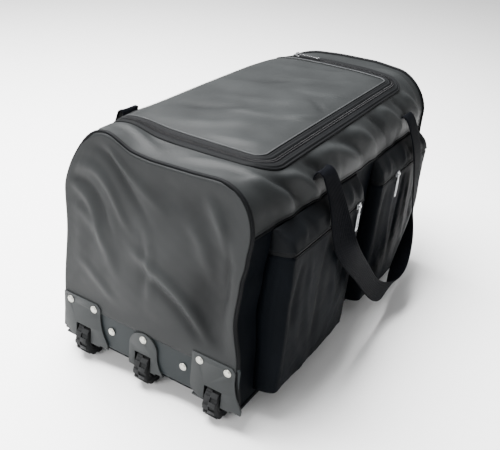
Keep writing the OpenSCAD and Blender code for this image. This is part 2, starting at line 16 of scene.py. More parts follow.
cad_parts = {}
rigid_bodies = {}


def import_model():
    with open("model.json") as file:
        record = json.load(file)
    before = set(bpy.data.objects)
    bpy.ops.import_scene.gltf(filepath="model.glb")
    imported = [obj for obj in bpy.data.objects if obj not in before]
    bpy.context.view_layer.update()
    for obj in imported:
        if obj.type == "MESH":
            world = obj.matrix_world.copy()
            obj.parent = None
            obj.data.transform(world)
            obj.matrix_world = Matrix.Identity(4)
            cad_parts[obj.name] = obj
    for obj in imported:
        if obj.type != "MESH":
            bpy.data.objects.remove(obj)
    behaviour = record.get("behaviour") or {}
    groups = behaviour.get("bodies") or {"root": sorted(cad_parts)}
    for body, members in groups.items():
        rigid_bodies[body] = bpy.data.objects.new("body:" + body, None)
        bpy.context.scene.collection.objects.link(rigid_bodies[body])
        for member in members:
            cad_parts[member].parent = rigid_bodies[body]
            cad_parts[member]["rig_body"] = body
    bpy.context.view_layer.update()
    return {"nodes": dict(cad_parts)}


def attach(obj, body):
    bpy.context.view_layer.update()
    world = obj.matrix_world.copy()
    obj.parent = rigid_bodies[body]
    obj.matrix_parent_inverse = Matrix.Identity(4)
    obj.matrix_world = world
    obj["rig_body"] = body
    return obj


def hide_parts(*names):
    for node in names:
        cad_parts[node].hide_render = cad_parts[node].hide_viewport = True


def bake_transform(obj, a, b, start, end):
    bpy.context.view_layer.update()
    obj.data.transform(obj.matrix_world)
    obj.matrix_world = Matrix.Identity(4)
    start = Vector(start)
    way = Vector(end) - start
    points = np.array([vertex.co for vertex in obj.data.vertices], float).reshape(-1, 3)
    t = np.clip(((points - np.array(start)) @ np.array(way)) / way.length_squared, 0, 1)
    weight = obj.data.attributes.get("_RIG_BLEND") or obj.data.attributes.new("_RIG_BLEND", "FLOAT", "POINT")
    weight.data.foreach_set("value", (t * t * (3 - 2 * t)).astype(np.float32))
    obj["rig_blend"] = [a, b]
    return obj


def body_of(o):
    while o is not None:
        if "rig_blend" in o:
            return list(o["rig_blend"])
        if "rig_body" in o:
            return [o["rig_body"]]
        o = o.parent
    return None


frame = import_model()
scene = bpy.context.scene

# %% [markdown]
# ## Measuring in the bag's own directions
# The bag leans on its wheels, so its length isn't level. Shapes are easier to think of in the
# bag's own millimetres: x from the wheel end, y across it with the near side negative, and z up
# from its base. One function turns those points into the frame's metres.

# %% The bag's own millimetres
LENGTH, HALF = 640.0, 170.0
FLAT, ROUND = 110.0, 60.0
QUARTER = ROUND * math.pi / 2
LEAN = math.radians(3.571078828)
MIDDLE_X = -306.6644772
SIDES = {"near": -1.0, "far": 1.0}


def to_row(points):
    """Frame metres of bag millimetres: turn by the lean about the tow end of the base, then centre."""
    x, y, z = points[..., 0] - LENGTH, points[..., 1], points[..., 2]
    c, s = math.cos(LEAN), math.sin(LEAN)
    return np.stack([x * c + z * s - MIDDLE_X, y, z * c - x * s], -1) / 1000


def row_point(x, y, z):
    """One bag point in frame metres."""
    return to_row(np.array([x, y, z], float))


print("lean", round(math.degrees(LEAN), 2), "degrees; tow end's foot at", row_point(640, 0, 0).round(3))

# %% [markdown]
# ## Small tools for surfaces
# A surface is a grid of points with quads between them, and a shell is that grid with the place
# of every point in the cloth, in metres, which the weaves follow. Several shells can go into one
# piece, for example the thousand stitches of a seam.


# %% Curves and noise
def eased(t, stops, values):
    """Value at t between stops joined by S-curves: v0 + (v1 - v0) * (3k^2 - 2k^3)."""
    t, stops, values = np.asarray(t, float), np.asarray(stops, float), np.asarray(values, float)
    i = np.clip(np.searchsorted(stops, t) - 1, 0, len(stops) - 2)
    k = np.clip((t - stops[i]) / (stops[i + 1] - stops[i]), 0, 1)
    return values[i] + (values[i + 1] - values[i]) * k * k * (3 - 2 * k)


def blurred(t, stops, values, blur):
    """Value at t of straight lines between stops, averaged over t - blur to t + blur."""
    t = np.asarray(t, float)
    return sum(np.interp(t + blur * k, stops, values) for k in np.linspace(-1, 1, 9)) / 9


def ripples(u, v, size, seed):
    """Gentle noise: the mean of seven sine waves of about one size, in directions set by a seed."""
    rng = np.random.default_rng(seed)
    total = np.zeros(np.broadcast(u, v).shape)
    turns, waves, shifts = rng.uniform(0, math.pi, 7), rng.uniform(0.7, 1.5, 7), rng.uniform(0, 6.3, 7)
    for turn, wave, shift in zip(turns, waves, shifts):
        total = total + np.sin(
            (u * math.cos(turn) + v * math.sin(turn)) * 2 * math.pi / (size * wave) + shift
        )
    return total / 7


def creases(u, v, lines):
    """Sum of ridges: height * exp(-(d / width)^2), d the distance from a line that fades at its ends."""
    total = np.zeros(np.broadcast(u, v).shape)
    for u0, v0, u1, v1, width, height in lines:
        du, dv = u1 - u0, v1 - v0
        span = math.hypot(du, dv)
        along = ((u - u0) * du + (v - v0) * dv) / span
        bow = 0.06 * span * np.sin(np.clip(along / span, 0, 1) * math.pi)
        across = ((u - u0) * dv - (v - v0) * du) / span - bow
        fade = eased(along, [-0.15 * span, 0.3 * span, 0.7 * span, 1.15 * span], [0, 1, 1, 0])
        total = total + height * fade * np.exp(-((across / width) ** 2))
    return total


def spline(points, count):
    """Catmull-Rom curve through points (n, k), as count rows evenly spaced in its parameter."""
    p = np.asarray(points, float)
    p = np.vstack([2 * p[0] - p[1], p, 2 * p[-1] - p[-2]])
    t = np.linspace(0, len(p) - 3 - 1e-9, count)
    i = t.astype(int)
    k = (t - i)[:, None]
    a, b, c, d = p[i], p[i + 1], p[i + 2], p[i + 3]
    return 0.5 * (2 * b + (c - a) * k + (2 * a - 5 * b + 4 * c - d) * k**2 + (3 * b - a - 3 * c + d) * k**3)


def unit(v):
    """Vectors of length one along the last axis."""
    return v / np.maximum(np.linalg.norm(v, axis=-1, keepdims=True), 1e-9)


def lengths(path):
    """Distance along a path of points from its first one."""
    return np.concatenate([[0], np.cumsum(np.linalg.norm(np.diff(path, axis=0), axis=1))])


print("eased(0.5) =", float(eased(0.5, [0, 1], [0, 1])))
print("spline rows", spline([[0, 0], [1, 1], [2, 0]], 5).shape)


# %% Grids, sweeps and repeated shapes
def quads(rows, columns, ring=False):
    """Corner indices of the cells of a grid. ring joins its last column to its first."""
    i = np.arange(rows - 1)[:, None] * columns
    j = np.arange(columns if ring else columns - 1)[None, :]
    k = (j + 1) % columns
    return np.stack([i + j, i + k, i + columns + k, i + columns + j], -1).reshape(-1, 4)


def grid(points, cloth, keep=None, flip=False):
    """Shell of a grid of points (rows, columns, 3). keep is a mask of its cells, flip turns it over."""
    faces = quads(*points.shape[:2])
    if keep is not None:
        faces = faces[keep.ravel()]
    used, faces = np.unique(faces, return_inverse=True)
    faces = faces.reshape(-1, 4)
    cloth = np.broadcast_to(np.stack(cloth, -1), points.shape[:2] + (2,))
    return (
        points.reshape(-1, 3)[used],
        (faces[:, ::-1] if flip else faces).tolist(),
        cloth.reshape(-1, 2)[used] / 1000,
    )


def sweep(path, across, out, profile):
    """Shell of a closed profile carried along a path: path + profile_x * across + profile_y * out."""
    profile = np.asarray(profile, float)
    points = path[:, None] + profile[None, :, :1] * across[:, None] + profile[None, :, 1:] * out[:, None]
    rows, columns = points.shape[:2]
    round_it = lengths(np.vstack([profile, profile[:1]]))[:-1]
    cloth = np.stack(np.broadcast_arrays(lengths(path)[:, None], round_it[None, :]), -1)
    faces = quads(rows, columns, ring=True)[:, ::-1].tolist()
    faces += [list(range(columns)), list(range(rows * columns - 1, (rows - 1) * columns - 1, -1))]
    return points.reshape(-1, 3), faces, cloth.reshape(-1, 2) / 1000


def circle(radius, count=10):
    """Profile of a round cord: radius * (cos a, sin a)."""
    a = np.arange(count) * 2 * math.pi / count
    return np.stack([radius * np.cos(a), radius * np.sin(a)], 1)


def slab(width, thick):
    """Profile of a flat strap with rounded edges."""
    w, t = width / 2, thick / 2
    half = [(-w, 0), (-w + 0.3 * t, -0.7 * t), (-w + t, -t), (-w / 2, -t), (0, -t), (w / 2, -t), (w - t, -t),
            (w - 0.3 * t, -0.7 * t)]
    return np.array(half + [(-x, -y) for x, y in half])


def cord(path, radius, out=None, count=10):
    """Round cord along a path. out is a direction away from the surface it lies on."""
    forward = unit(np.gradient(path, axis=0))
    out = np.broadcast_to(np.array([0, 0, 1.0]) if out is None else out, path.shape)
    across = unit(np.cross(forward, out))
    return sweep(path, across, unit(np.cross(across, forward)), circle(radius, count))


def repeat(template, places, along, across, out):
    """Shell of one small shape at many places: place + x * along + y * across + z * out."""
    verts, faces = template
    points = (
        places[:, None]
        + verts[None, :, :1] * along[:, None]
        + verts[None, :, 1:2] * across[:, None]
        + verts[None, :, 2:] * out[:, None]
    )
    count = len(places)
    indices = [[[c + k * len(verts) for c in f] for f in faces] for k in range(count)]
    cloth = np.broadcast_to(verts[None, :, :2], (count, len(verts), 2))
    return points.reshape(-1, 3), sum(indices, []), cloth.reshape(-1, 2) / 1000


def pill(length, width, height):
    """Small rounded bar of three six-sided rings and two end caps, drawn about its middle."""
    a = np.arange(6) * math.pi / 3
    rings = []
    for x, r in ((-0.5, 0.55), (0.0, 1.0), (0.5, 0.55)):
        y, z = r * width / 2 * np.cos(a), r * height / 2 * np.sin(a)
        rings.append(np.stack([np.full(6, x * length), y, z], 1))
    faces = quads(3, 6, ring=True)[:, ::-1].tolist() + [list(range(6)), list(range(17, 11, -1))]
    return np.vstack(rings), faces


def piece(name, shells, body, material, replaces=(), fold_shade=None):
    """One object of some shells, in frame metres, that rides on a body, if any, and stands for CAD nodes."""
    shells = shells if isinstance(shells, list) else [shells]
    start = np.cumsum([0] + [len(s[0]) for s in shells])
    verts = to_row(np.vstack([s[0] for s in shells]))
    faces = [[c + k for c in f] for s, k in zip(shells, start) for f in s[1]]
    cloth = np.vstack([s[2] for s in shells])
    mesh = bpy.data.meshes.new(name)
    mesh.from_pydata(verts.tolist(), [], faces)
    corners = np.empty(len(mesh.loops), np.int32)
    mesh.loops.foreach_get("vertex_index", corners)
    layer = mesh.uv_layers.new(name="cloth")
    layer.uv.foreach_set("vector", cloth[corners].astype(np.float32).ravel())
    # fold heights kept on the mesh for the painted shade along the cloth's folds
    if fold_shade is not None:
        raised = mesh.attributes.new("fold_shade", "FLOAT", "POINT")
        raised.data.foreach_set("value", fold_shade.astype(np.float32).ravel())
    mesh.polygons.foreach_set("use_smooth", np.ones(len(mesh.polygons), bool))
    mesh.materials.append(material)
    obj = bpy.data.objects.new(name, mesh)
    scene.collection.objects.link(obj)
    if body is not None:
        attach(obj, body)
    if replaces:
        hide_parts(*replaces)
    print(f"{name}: {len(verts)} points, {len(faces)} faces")
    return obj


def thicken(obj, thick, inward=True):
    """Gives a cloth its thickness, so that it is closed."""
    solid = obj.modifiers.new("thickness", "SOLIDIFY")
    solid.thickness = thick / 1000
    solid.offset = -1 if inward else 1
    solid.use_even_offset = True
    return obj


# %% [markdown]
# ## Finishes
# Shader sums are easier to read as Python. A wire wraps a socket, and arithmetic on wires adds
# Math nodes. A finish is one material; its `add` makes any other node from its type, its settings
# and the values or wires of its sockets.


# %% Wires and finishes
class Wire:
    """A socket on which Python arithmetic works."""

    def __init__(self, finish, socket):
        self.finish, self.socket = finish, socket

    def maths(self, operation, *values):
        return self.finish.add("ShaderNodeMath", {"operation": operation}, dict(enumerate(values)))[0]

    def __add__(self, other):
        return self.maths("ADD", self, other)

    def __sub__(self, other):
        return self.maths("SUBTRACT", self, other)

    def __rsub__(self, other):
        return self.maths("SUBTRACT", other, self)

    def __mul__(self, other):
        return self.maths("MULTIPLY", self, other)

    __radd__, __rmul__ = __add__, __mul__

    def sin(self):
        return self.maths("SINE", self)

    def clamp(self):
        return self.finish.add("ShaderNodeClamp", {}, {0: self})[0]


class Finish:
    """A material with one Principled shader, whose constants are set by name."""

    def __init__(self, name, **constants):
        self.material = bpy.data.materials.new(name)
        self.material.use_nodes = True
        self.tree = self.material.node_tree
        self.shader = self.tree.nodes["Principled BSDF"]
        for key, value in constants.items():
            self.shader.inputs[key.replace("_", " ").title().replace("Ior", "IOR")].default_value = value

    def add(self, kind, settings, inputs):
        """A node of a type, its settings first, then the values or wires of its sockets."""
        node = self.tree.nodes.new(kind)
        for key, value in settings.items():
            setattr(node, key, value)
        for key, value in inputs.items():
            self.join(value, node.inputs[key])
        return [Wire(self, out) for out in node.outputs]

    def join(self, value, socket):
        if isinstance(value, Wire):
            self.tree.links.new(value.socket, socket)
        else:
            socket.default_value = value

    def place(self, cloth):
        """Where a point is: (x, y, z) wires from the cloth map, or from the object's own metres."""
        where = (
            self.add("ShaderNodeUVMap", {"uv_map": "cloth"}, {})[0]
            if cloth
            else self.add("ShaderNodeTexCoord", {}, {})[3]
        )
        return where, self.add("ShaderNodeSeparateXYZ", {}, {0: where})

    def noise(self, where, size, detail=3, **more):
        """Noise from 0 to 1 with features of about a size in metres."""
        settings = {"Vector": where, "Scale": 1 / size, "Detail": detail, **more}
        return self.add("ShaderNodeTexNoise", {}, settings)[0]

    def blend(self, factor, dark, light):
        """Colour between two, by a factor."""
        mix = self.add("ShaderNodeMix", {"data_type": "RGBA"}, {0: factor, 6: (*dark, 1), 7: (*light, 1)})
        return mix[2]

    def surface(self, colour=None, rough=None, height=None, depth=0.001, metal=None):
        """Joins colour, roughness and a bump of some depth in metres to the shader."""
        if colour is not None:
            self.join(colour, self.shader.inputs["Base Color"])
        if rough is not None:
            self.join(rough, self.shader.inputs["Roughness"])
        if metal is not None:
            self.join(metal, self.shader.inputs["Metallic"])
        if height is not None:
            bump = self.add("ShaderNodeBump", {}, {"Strength": 1.0, "Distance": depth, "Height": height})
            self.join(bump[0], self.shader.inputs["Normal"])
        return self.material


# %% [markdown]
# The shell is plain-woven polyester. Its threads cross at right angles, so the weave is the product
# of two sine waves along the cloth. Broad noise lightens the cloth where it has been rubbed, and
# painted shade follows the folds: a fold's raised line is painted lighter and its valley darker.


# %% Cloth finishes
def woven(name, dark, light, pitch, rough, bump=0.00012, fold_shade=True, shine=0.1):
    """Cloth: weave sin(u) * sin(v) of a pitch in metres, with broad rubbing, fine uneven threads and painted
    fold shade.
    """
    f = Finish(name, specular_ior_level=shine)
    where, (u, v, _) = f.place(cloth=True)
    beat = 2 * math.pi / pitch
    weave = (u * beat).sin() * (v * beat).sin()
    rubbed = f.noise(where, 0.09, 4)
    threads = f.noise(where, 0.0028, 2)
    tone = rubbed * 0.9 + threads * 0.25 + weave * 0.06 - 0.12
    if fold_shade:
        # painted shade: the fold height stored on the mesh lightens fold ridges and darkens fold valleys
        raised = f.add("ShaderNodeAttribute", {"attribute_name": "fold_shade"}, {})[2]
        tone = tone + raised * 0.075
    colour = f.blend(tone.clamp(), dark, light)
    roughness = rubbed * 0.16 + threads * 0.1 + (rough - 0.13)
    height = weave * 0.5 + threads * 0.8 + f.noise(where, 0.022, 3) * 2.5
    return f.surface(colour, roughness.clamp(), height, bump)


shell_cloth = woven("shell_cloth", (0.0050, 0.0056, 0.0059), (0.0166, 0.0180, 0.0184), 0.0016, 0.48)
# painted shade: the shell fabric again, painted several times darker for the sides, pockets and base
shaded_side_cloth = woven("side_fabric_in_painted_shade", (0.0008, 0.0011, 0.0016), (0.0032, 0.0042, 0.0058), 0.0014, 0.5, 0.0001,
                   shine=0.015)
# painted shade: the pocket hoods are shell fabric, painted darker than the top
shaded_hood_cloth = woven("shaded_hood_cloth", (0.0016, 0.0018, 0.0022), (0.0075, 0.0085, 0.0098), 0.0014, 0.5, 0.0001,
                   shine=0.03)
strip_cloth = woven("strip_cloth", (0.0070, 0.0096, 0.0106), (0.0109, 0.0138, 0.0150), 0.0012, 0.44, 0.00006)
binding_tape = woven("binding_tape", (0.0010, 0.0013, 0.0015), (0.0045, 0.0047, 0.0055), 0.0011, 0.55,
                     fold_shade=False, shine=0.05)
# painted highlight: a pale cord that stands for the light line along the end piping
painted_highlight_cord = woven("painted_highlight_cord", (0.0450, 0.0470, 0.0490), (0.1100, 0.1130, 0.1175), 0.0010, 0.38, fold_shade=False)
# painted highlight: pale grey for the lid's piping bead
grey_painted_highlight_cord = woven("grey_painted_highlight_cord", (0.0158, 0.0166, 0.0175), (0.0405, 0.0423, 0.0441), 0.0010, 0.38, fold_shade=False)
zip_tape = woven("zip_tape", (0.0015, 0.0018, 0.0020), (0.0060, 0.0063, 0.0070), 0.0010, 0.6, fold_shade=False,
                 shine=0.05)
thread = woven("thread", (0.0080, 0.0084, 0.0088), (0.0200, 0.0208, 0.0220), 0.0008, 0.5, fold_shade=False)


def ribbed(name, dark, light, rib, pitch):
    """Webbing: ribs along the strap, each crossed by slanting threads."""
    f = Finish(name, specular_ior_level=0.015)
    where, (u, v, _) = f.place(cloth=True)
    ribs = (v * (2 * math.pi / rib)).sin()
    slant = ((u + v * 0.6) * (2 * math.pi / pitch)).sin()
    tone = f.noise(where, 0.05, 3) * 0.8 + ribs * 0.12 + slant * 0.08
    height = ribs * 0.8 + slant * 0.35 + f.noise(where, 0.002, 2) * 0.4
    return f.surface(f.blend(tone.clamp(), dark, light), 0.56 + tone * 0.1, height, 0.00025)


webbing = ribbed("webbing", (0.0012, 0.0014, 0.0020), (0.0048, 0.0052, 0.0068), 0.0034, 0.0022)

# %% [markdown]
# The housings and hubs are moulded with a fine spark texture, which shows as a satin surface. Tyres
# are matt. Rivets are plated steel with small scratches.


# %% Hard finishes
def grained(name, dark, light, rough, grain, depth, metal=0.0, scratches=0.0, shine=0.12):
    """Moulded or plated surface: fine grain, slow unevenness and scratches along the part."""
    f = Finish(name, metallic=metal, specular_ior_level=shine)
    where, _ = f.place(cloth=False)
    fine = f.noise(where, grain, 3)
    slow = f.noise(where, 0.03, 3)
    marks = f.noise(where, 0.004, 5, Distortion=1.5)
    tone = slow * 0.7 + fine * 0.25 + (marks - 0.5) * scratches
    height = fine + marks * scratches
    return f.surface(f.blend(tone.clamp(), dark, light), (slow * 0.2 + marks * 0.12 + rough - 0.16).clamp(),
                     height, depth)


moulding = grained("moulding", (0.0112, 0.0128, 0.0132), (0.0220, 0.0240, 0.0244), 0.46, 0.0007, 0.00007)
tread = grained("tread", (0.0048, 0.0051, 0.0054), (0.0144, 0.0150, 0.0156), 0.66, 0.0012, 0.00012)
hub_moulding = grained("hub_moulding", (0.0065, 0.0070, 0.0075), (0.0150, 0.0160, 0.0165), 0.5, 0.0008,
                       0.00008)
foam = grained("grip_foam", (0.006, 0.006, 0.0065), (0.015, 0.015, 0.016), 0.85, 0.0009, 0.00022)
stiff_board = grained("stiff_board", (0.015, 0.015, 0.0155), (0.030, 0.030, 0.031), 0.75, 0.0015, 0.0001)
rivet_metal = grained("rivet_metal", (0.252, 0.252, 0.228), (0.396, 0.396, 0.36), 0.34, 0.0006, 0.00003,
                      0.85, 0.3, 0.5)
axle_steel = grained("axle_steel", (0.42, 0.42, 0.43), (0.6, 0.6, 0.62), 0.32, 0.0006, 0.00003, 1.0, 0.3, 0.5)
zip_metal = grained("zip_metal", (0.20, 0.205, 0.21), (0.42, 0.43, 0.44), 0.28, 0.0006, 0.00003,
                    1.0, 0.35, 0.5)
coil_nylon = grained("coil_nylon", (0.0018, 0.0018, 0.0021), (0.0084, 0.0084, 0.0096), 0.34, 0.0008, 0.00003)
print(len(bpy.data.materials), "finishes")

# %% [markdown]
# ## The skin
# The top is a flat strip between two round shoulders, and it rises from the wheel end to the tow
# end. Above that plain shape the bag settles: the top sinks behind the wheel end's piping, the near
# side is drawn in there, and the sides bulge. Every piece of cloth takes its place from this one
# skin, so neighbours stay joined.


# %% The skin's shape
def crown(x):
    """Height of the top: a straight rise from 362 to 390."""
    return 362 + 28 * np.asarray(x, float) / LENGTH


def settled(p):
    """Points moved as the bag settles: height along the top, and width along the sides."""
    x, y, z = p[..., 0], p[..., 1], p[..., 2]
    high = eased(z, [170, 335], [0, 1])
    wheel, tow = np.exp(-((x / 70) ** 2)), np.exp(-(((LENGTH - x) / 90) ** 2))
    middle = np.sin(np.pi * np.clip(x / LENGTH, 0, 1))
    dip = blurred(y, [-172, -150, -107, -65, 9, 44, 82, 100, 117, 140, 172],
                  [-17, -11, -7, -10, -13, -10, 6, 5, -3, -20, -46], 9)
    rear = blurred(y, [-172, -143, -114, -60, 17, 72, 98, 124, 140, 172],
                   [-10, -5, 1, 6, 4, -1, -8, -20, -28, -34], 9)
    slump = blurred(y, [112, 128, 146, 172], [0, -4, -19, -29], 5) * eased(x, [0, 90, 205], [0.2, 0.45, 1])
    slump = slump * eased(LENGTH - x, [0, 150], [0.2, 1]) * eased(z, [250, 345], [0, 1])
    lift = high * (wheel * dip + tow * rear + 4 * middle * np.cos(np.pi * y / 400)) + slump
    reach = eased(np.abs(y), [40, 170], [0, 1]) * np.sign(y)
    draw = np.where(
        y < 0,
        eased(z, [0, 78, 157, 216, 262, 303, 360], [0, 9, 22, 19, 14, 11, 6]),
        eased(z, [0, 90, 200, 300, 360], [0, 3, 9, 6, 3]),
    )
    bulge = 11 * middle**0.8 * eased(z, [0, 90, 230, 320, 380], [0, 6, 10, 11, 4]) / 11
    bulge = bulge + tow * eased(z, [0, 90, 230, 330, 380], [0, 3, 5, 2, 0])
    inward = draw * np.exp(-((x / 62) ** 2)) - bulge
    return np.stack([x, y - reach * inward, z + lift], -1)


def skin(x, s):
    """Plain point and outward direction at x along the bag and s across it over the top."""
    x, s = np.broadcast_arrays(np.asarray(x, float), np.asarray(s, float))
    angle = np.clip((np.abs(s) - FLAT) / ROUND, 0, math.pi / 2)
    down = np.maximum(np.abs(s) - FLAT - QUARTER, 0)
    side = np.sign(s)
    y = side * (np.minimum(np.abs(s), FLAT) + ROUND * np.sin(angle))
    z = crown(x) - ROUND + ROUND * np.cos(angle) - down
    out = np.stack([np.zeros_like(y), side * np.sin(angle), np.cos(angle)], -1)
    return np.stack([x, y, z], -1), out


def on_skin(x, s, height):
    """Settled point of the skin, raised above it by a height."""
    point, out = skin(x, s)
    return settled(point) + out * np.asarray(height)[..., None]


def top_folds(x, s):
    """Soft folds of the body's cloth: ridges from the lid's corners to the side seams, and ripples."""
    a = np.abs(s)
    lines = [
        (23, 120, 86, 208, 9, 5.0), (53, 142, 116, 210, 8, -4.5), (81, 146, 158, 214, 9, 5.5),
        (139, 146, 200, 216, 9, -4.5), (178, 146, 310, 216, 11, 5.5), (240, 148, 345, 214, 9, -4.0),
        (300, 148, 372, 216, 10, 4.5), (372, 146, 436, 214, 9, -4.0), (424, 146, 500, 216, 10, 4.6),
        (492, 146, 545, 214, 9, -3.4), (545, 148, 604, 214, 10, 4.0), (600, 60, 590, 190, 9, 2.4),
        (30, 20, 44, 150, 8, 2.6),
    ]
    shape = 1.25 * creases(x, a, lines) + 2.0 * ripples(x, s, 70, 3) + 0.9 * ripples(x, s * 0.5, 26, 4)
    edge = eased(x, [4, 34], [0, 1]) * eased(LENGTH - x, [4, 34], [0, 1])
    low = eased(a, [205, 330, 460, 500], [1, 0.7, 0.5, 0.1])
    return shape * edge * low * eased(lid_distance(x, s), [10, 26], [0, 1])


# %% The lid's outline
LID_MIDDLE, LID_HALF, LID_REACH, LID_CORNER, HINGE = 320.0, 252.0, 132.5, 34.0, 126.2


def lid_distance(x, s):
    """Distance outside the lid's zip line: that of a box with round corners, open at the hinge."""
    qx = np.abs(x - LID_MIDDLE) - (LID_HALF - LID_CORNER)
    qs = -(s + LID_REACH) + LID_CORNER
    outside = np.hypot(np.maximum(qx, 0), np.maximum(qs, 0))
    return np.minimum(np.maximum(qx, qs), 0) + outside - LID_CORNER


def zip_line(count):
    """Places (x, s) along the lid's zip from the hinge round both corners, and inward directions."""
    leg, bend, run = HINGE - 6 + LID_REACH - LID_CORNER, LID_CORNER * math.pi / 2, 2 * (LID_HALF - LID_CORNER)
    t = np.linspace(0, 2 * leg + 2 * bend + run, count)
    a = np.clip((t - leg) / LID_CORNER, 0, math.pi / 2)
    b = np.clip((t - leg - bend - run) / LID_CORNER, 0, math.pi / 2)
    first = np.minimum(t, leg)
    straight = np.clip(t - leg - bend, 0, run)
    last = np.maximum(t - leg - 2 * bend - run, 0)
    turn = a + b
    x = LID_MIDDLE - LID_HALF + LID_CORNER * (1 - np.cos(a)) + straight + LID_CORNER * np.sin(b)
    s = HINGE - 6 - first - LID_CORNER * np.sin(a) + LID_CORNER * (1 - np.cos(b)) + last
    inward = np.stack([np.cos(turn), np.sin(turn)], -1)
    return x, s, inward


def snapped(x, s, level):
    """Grid places near the curve lid_distance = level, moved onto it along its slope."""
    gap = lid_distance(x, s) - level
    slope_x = (lid_distance(x + 0.5, s) - lid_distance(x - 0.5, s))
    slope_s = (lid_distance(x, s + 0.5) - lid_distance(x, s - 0.5))
    near = (np.abs(gap) < 2.6) & (s < HINGE - 8)
    return np.where(near, x - gap * slope_x, x), np.where(near, s - gap * slope_s, s)


print("zip length", round(float(lengths(np.stack(zip_line(400)[:2], 1))[-1])), "mm")

# %% [markdown]
# ## The body's cloth
# One sheet goes from the foot of the near side, over the top, to the foot of the far side. Its grid
# points nearest the lid's opening are moved onto the opening's curve, so its edge is smooth.

# %% Side and top cloth
SEAM = 300.0
across_top = np.concatenate([
    np.linspace(-FLAT - QUARTER, HINGE + 2, 68),
    np.linspace(HINGE + 2, FLAT + QUARTER, 16)[1:],
])
above_seam, below_seam = np.linspace(0, 1, 7)[1:], np.linspace(0, 1, 57)[1:]
along = np.linspace(0, LENGTH, 129)


def seam_place(x):
    """How far the level side seam lies across the skin from the middle of the top."""
    return FLAT + QUARTER + crown(x) - ROUND - SEAM


def wrap_places(x):
    """Distance s across the skin of each grid column: over the top, down to the seam, then to the foot."""
    spring, drop = FLAT + QUARTER, crown(x)[:, None] - ROUND - SEAM
    down = spring + np.hstack([above_seam * drop, drop + below_seam * (SEAM - 1.5)])
    return np.hstack([-down[:, ::-1], np.broadcast_to(across_top, (len(x), len(across_top))), down])


s_grid = wrap_places(along)
x_grid, s_grid = snapped(np.broadcast_to(along[:, None], s_grid.shape), s_grid, 4.0)
folds = top_folds(x_grid, s_grid)
body_points = on_skin(x_grid, s_grid, folds)
cell_x, cell_s = x_grid[:-1, :-1] + 2.5, (s_grid[:-1, :-1] + s_grid[1:, 1:]) / 2
opening = (lid_distance(cell_x, cell_s) < 4) & (cell_s < HINGE + 2)


def part_of_body(name, mask, material, replaces):
    """One panel of the wrap: the cells of the grid that a mask keeps, given their thickness."""
    shell = grid(body_points, (x_grid, s_grid), mask, flip=True)
    used = np.unique(quads(*x_grid.shape)[mask.ravel()])
    obj = piece(name, shell, "bag", material, replaces, fold_shade=folds.ravel()[used])
    return thicken(obj, 2.2)


column = np.arange(cell_s.shape[1])[None, :] + np.zeros_like(cell_s)
near_mask, far_mask = column < len(below_seam), column >= cell_s.shape[1] - len(below_seam)
top_cloth = part_of_body("top_cloth", ~near_mask & ~far_mask & ~opening, shell_cloth, ["top_panel"])
near_cloth = part_of_body("near_side_cloth", near_mask, shaded_side_cloth, ["near_side_panel"])
far_cloth = part_of_body("far_side_cloth", far_mask, shaded_side_cloth, ["far_side_panel"])

# %% [markdown]
# ## The end panels
# Each end is a flat cut sewn into the arch of the skin. Weight pulls the wheel end's panel into
# slanting folds from its upper corner, and it caves in towards the near side.


def end_places(x, low, rows=64, columns=70):
    """Grid of an end panel: rows up from a height, each as wide as the arch is there."""
    z = np.linspace(low, crown(x), rows)[:, None]
    rise = np.clip(z - (crown(x) - ROUND), 0, ROUND)
    reach = FLAT + np.sqrt(np.maximum(ROUND**2 - rise**2, 0))
    share = np.sin(np.linspace(-1, 1, columns)[None, :] * math.pi / 2 * 0.86) / math.sin(math.pi / 2 * 0.86)
    y = reach * share
    z = np.broadcast_to(z, y.shape)
    return np.stack([np.full_like(y, x), y, z], -1), reach, share


def end_cloth(name, x, low, out, lines, caves, replaces, seed):
    """End panel: the arch's plane, bellied and creased along the bag, held at its edges."""
    plain, reach, share = end_places(x, low)
    y, z = plain[..., 1], plain[..., 2]
    held = eased((1 - np.abs(share)) * reach, [0, 26], [0, 1]) * eased(crown(x) - z, [0, 28], [0, 1])
    held = held * eased(z, [76, 112], [0, 1])
    shape = creases(y, z, lines) + 1.2 * ripples(y, z, 60, seed) + 0.6 * ripples(y, z, 24, seed + 1)
    for y0, z0, wide, tall, depth in caves:
        shape = shape - depth * np.exp(-(((y - y0) / wide) ** 2) - ((z - z0) / tall) ** 2)
    points = settled(plain)
    points[..., 0] = points[..., 0] + out * shape * held
    shell = grid(points, (y, z), flip=out > 0)
    obj = piece(name, shell, "bag", shell_cloth, replaces, fold_shade=(shape * held).ravel())
    thicken(obj, 2.2)
    tall = float(crown(x) - low) / 1000


wheel_lines = [
    (150, 335, 40, 235, 7, 3.6), (156, 322, 70, 205, 6, -2.6), (160, 310, 92, 190, 7, 3.2),
    (150, 250, 60, 150, 9, 2.6), (118, 352, 0, 262, 8, -3.0), (95, 345, -20, 290, 7, 2.8),
    (8, 250, 2, 120, 7, 2.4), (16, 250, 12, 130, 5, -2.0), (30, 205, -120, 96, 10, 5.5),
    (10, 172, -100, 92, 8, -3.0), (-90, 335, -146, 250, 10, 5.0), (-60, 300, -118, 190, 12, 3.6),
    (-128, 300, -150, 180, 7, -3.5), (140, 150, 60, 92, 9, 2.4),
]
wheel_caves = [(-118, 165, 40, 75, 13), (-60, 320, 70, 30, 3), (60, 150, 60, 60, -4), (-20, 230, 60, 60, -4)]
end_cloth("wheel_end_cloth", 0.0, 62, -1, wheel_lines, wheel_caves, ["wheel_end_panel"], 11)
tow_lines = [
    (-140, 330, -60, 250, 9, 3.0), (140, 330, 70, 255, 9, 3.0), (-120, 120, -40, 60, 10, 2.6),
    (120, 110, 50, 60, 10, 2.6),
]
tow_caves = [(0, 320, 90, 30, 4), (-130, 180, 22, 80, 5), (130, 180, 22, 80, 5)]
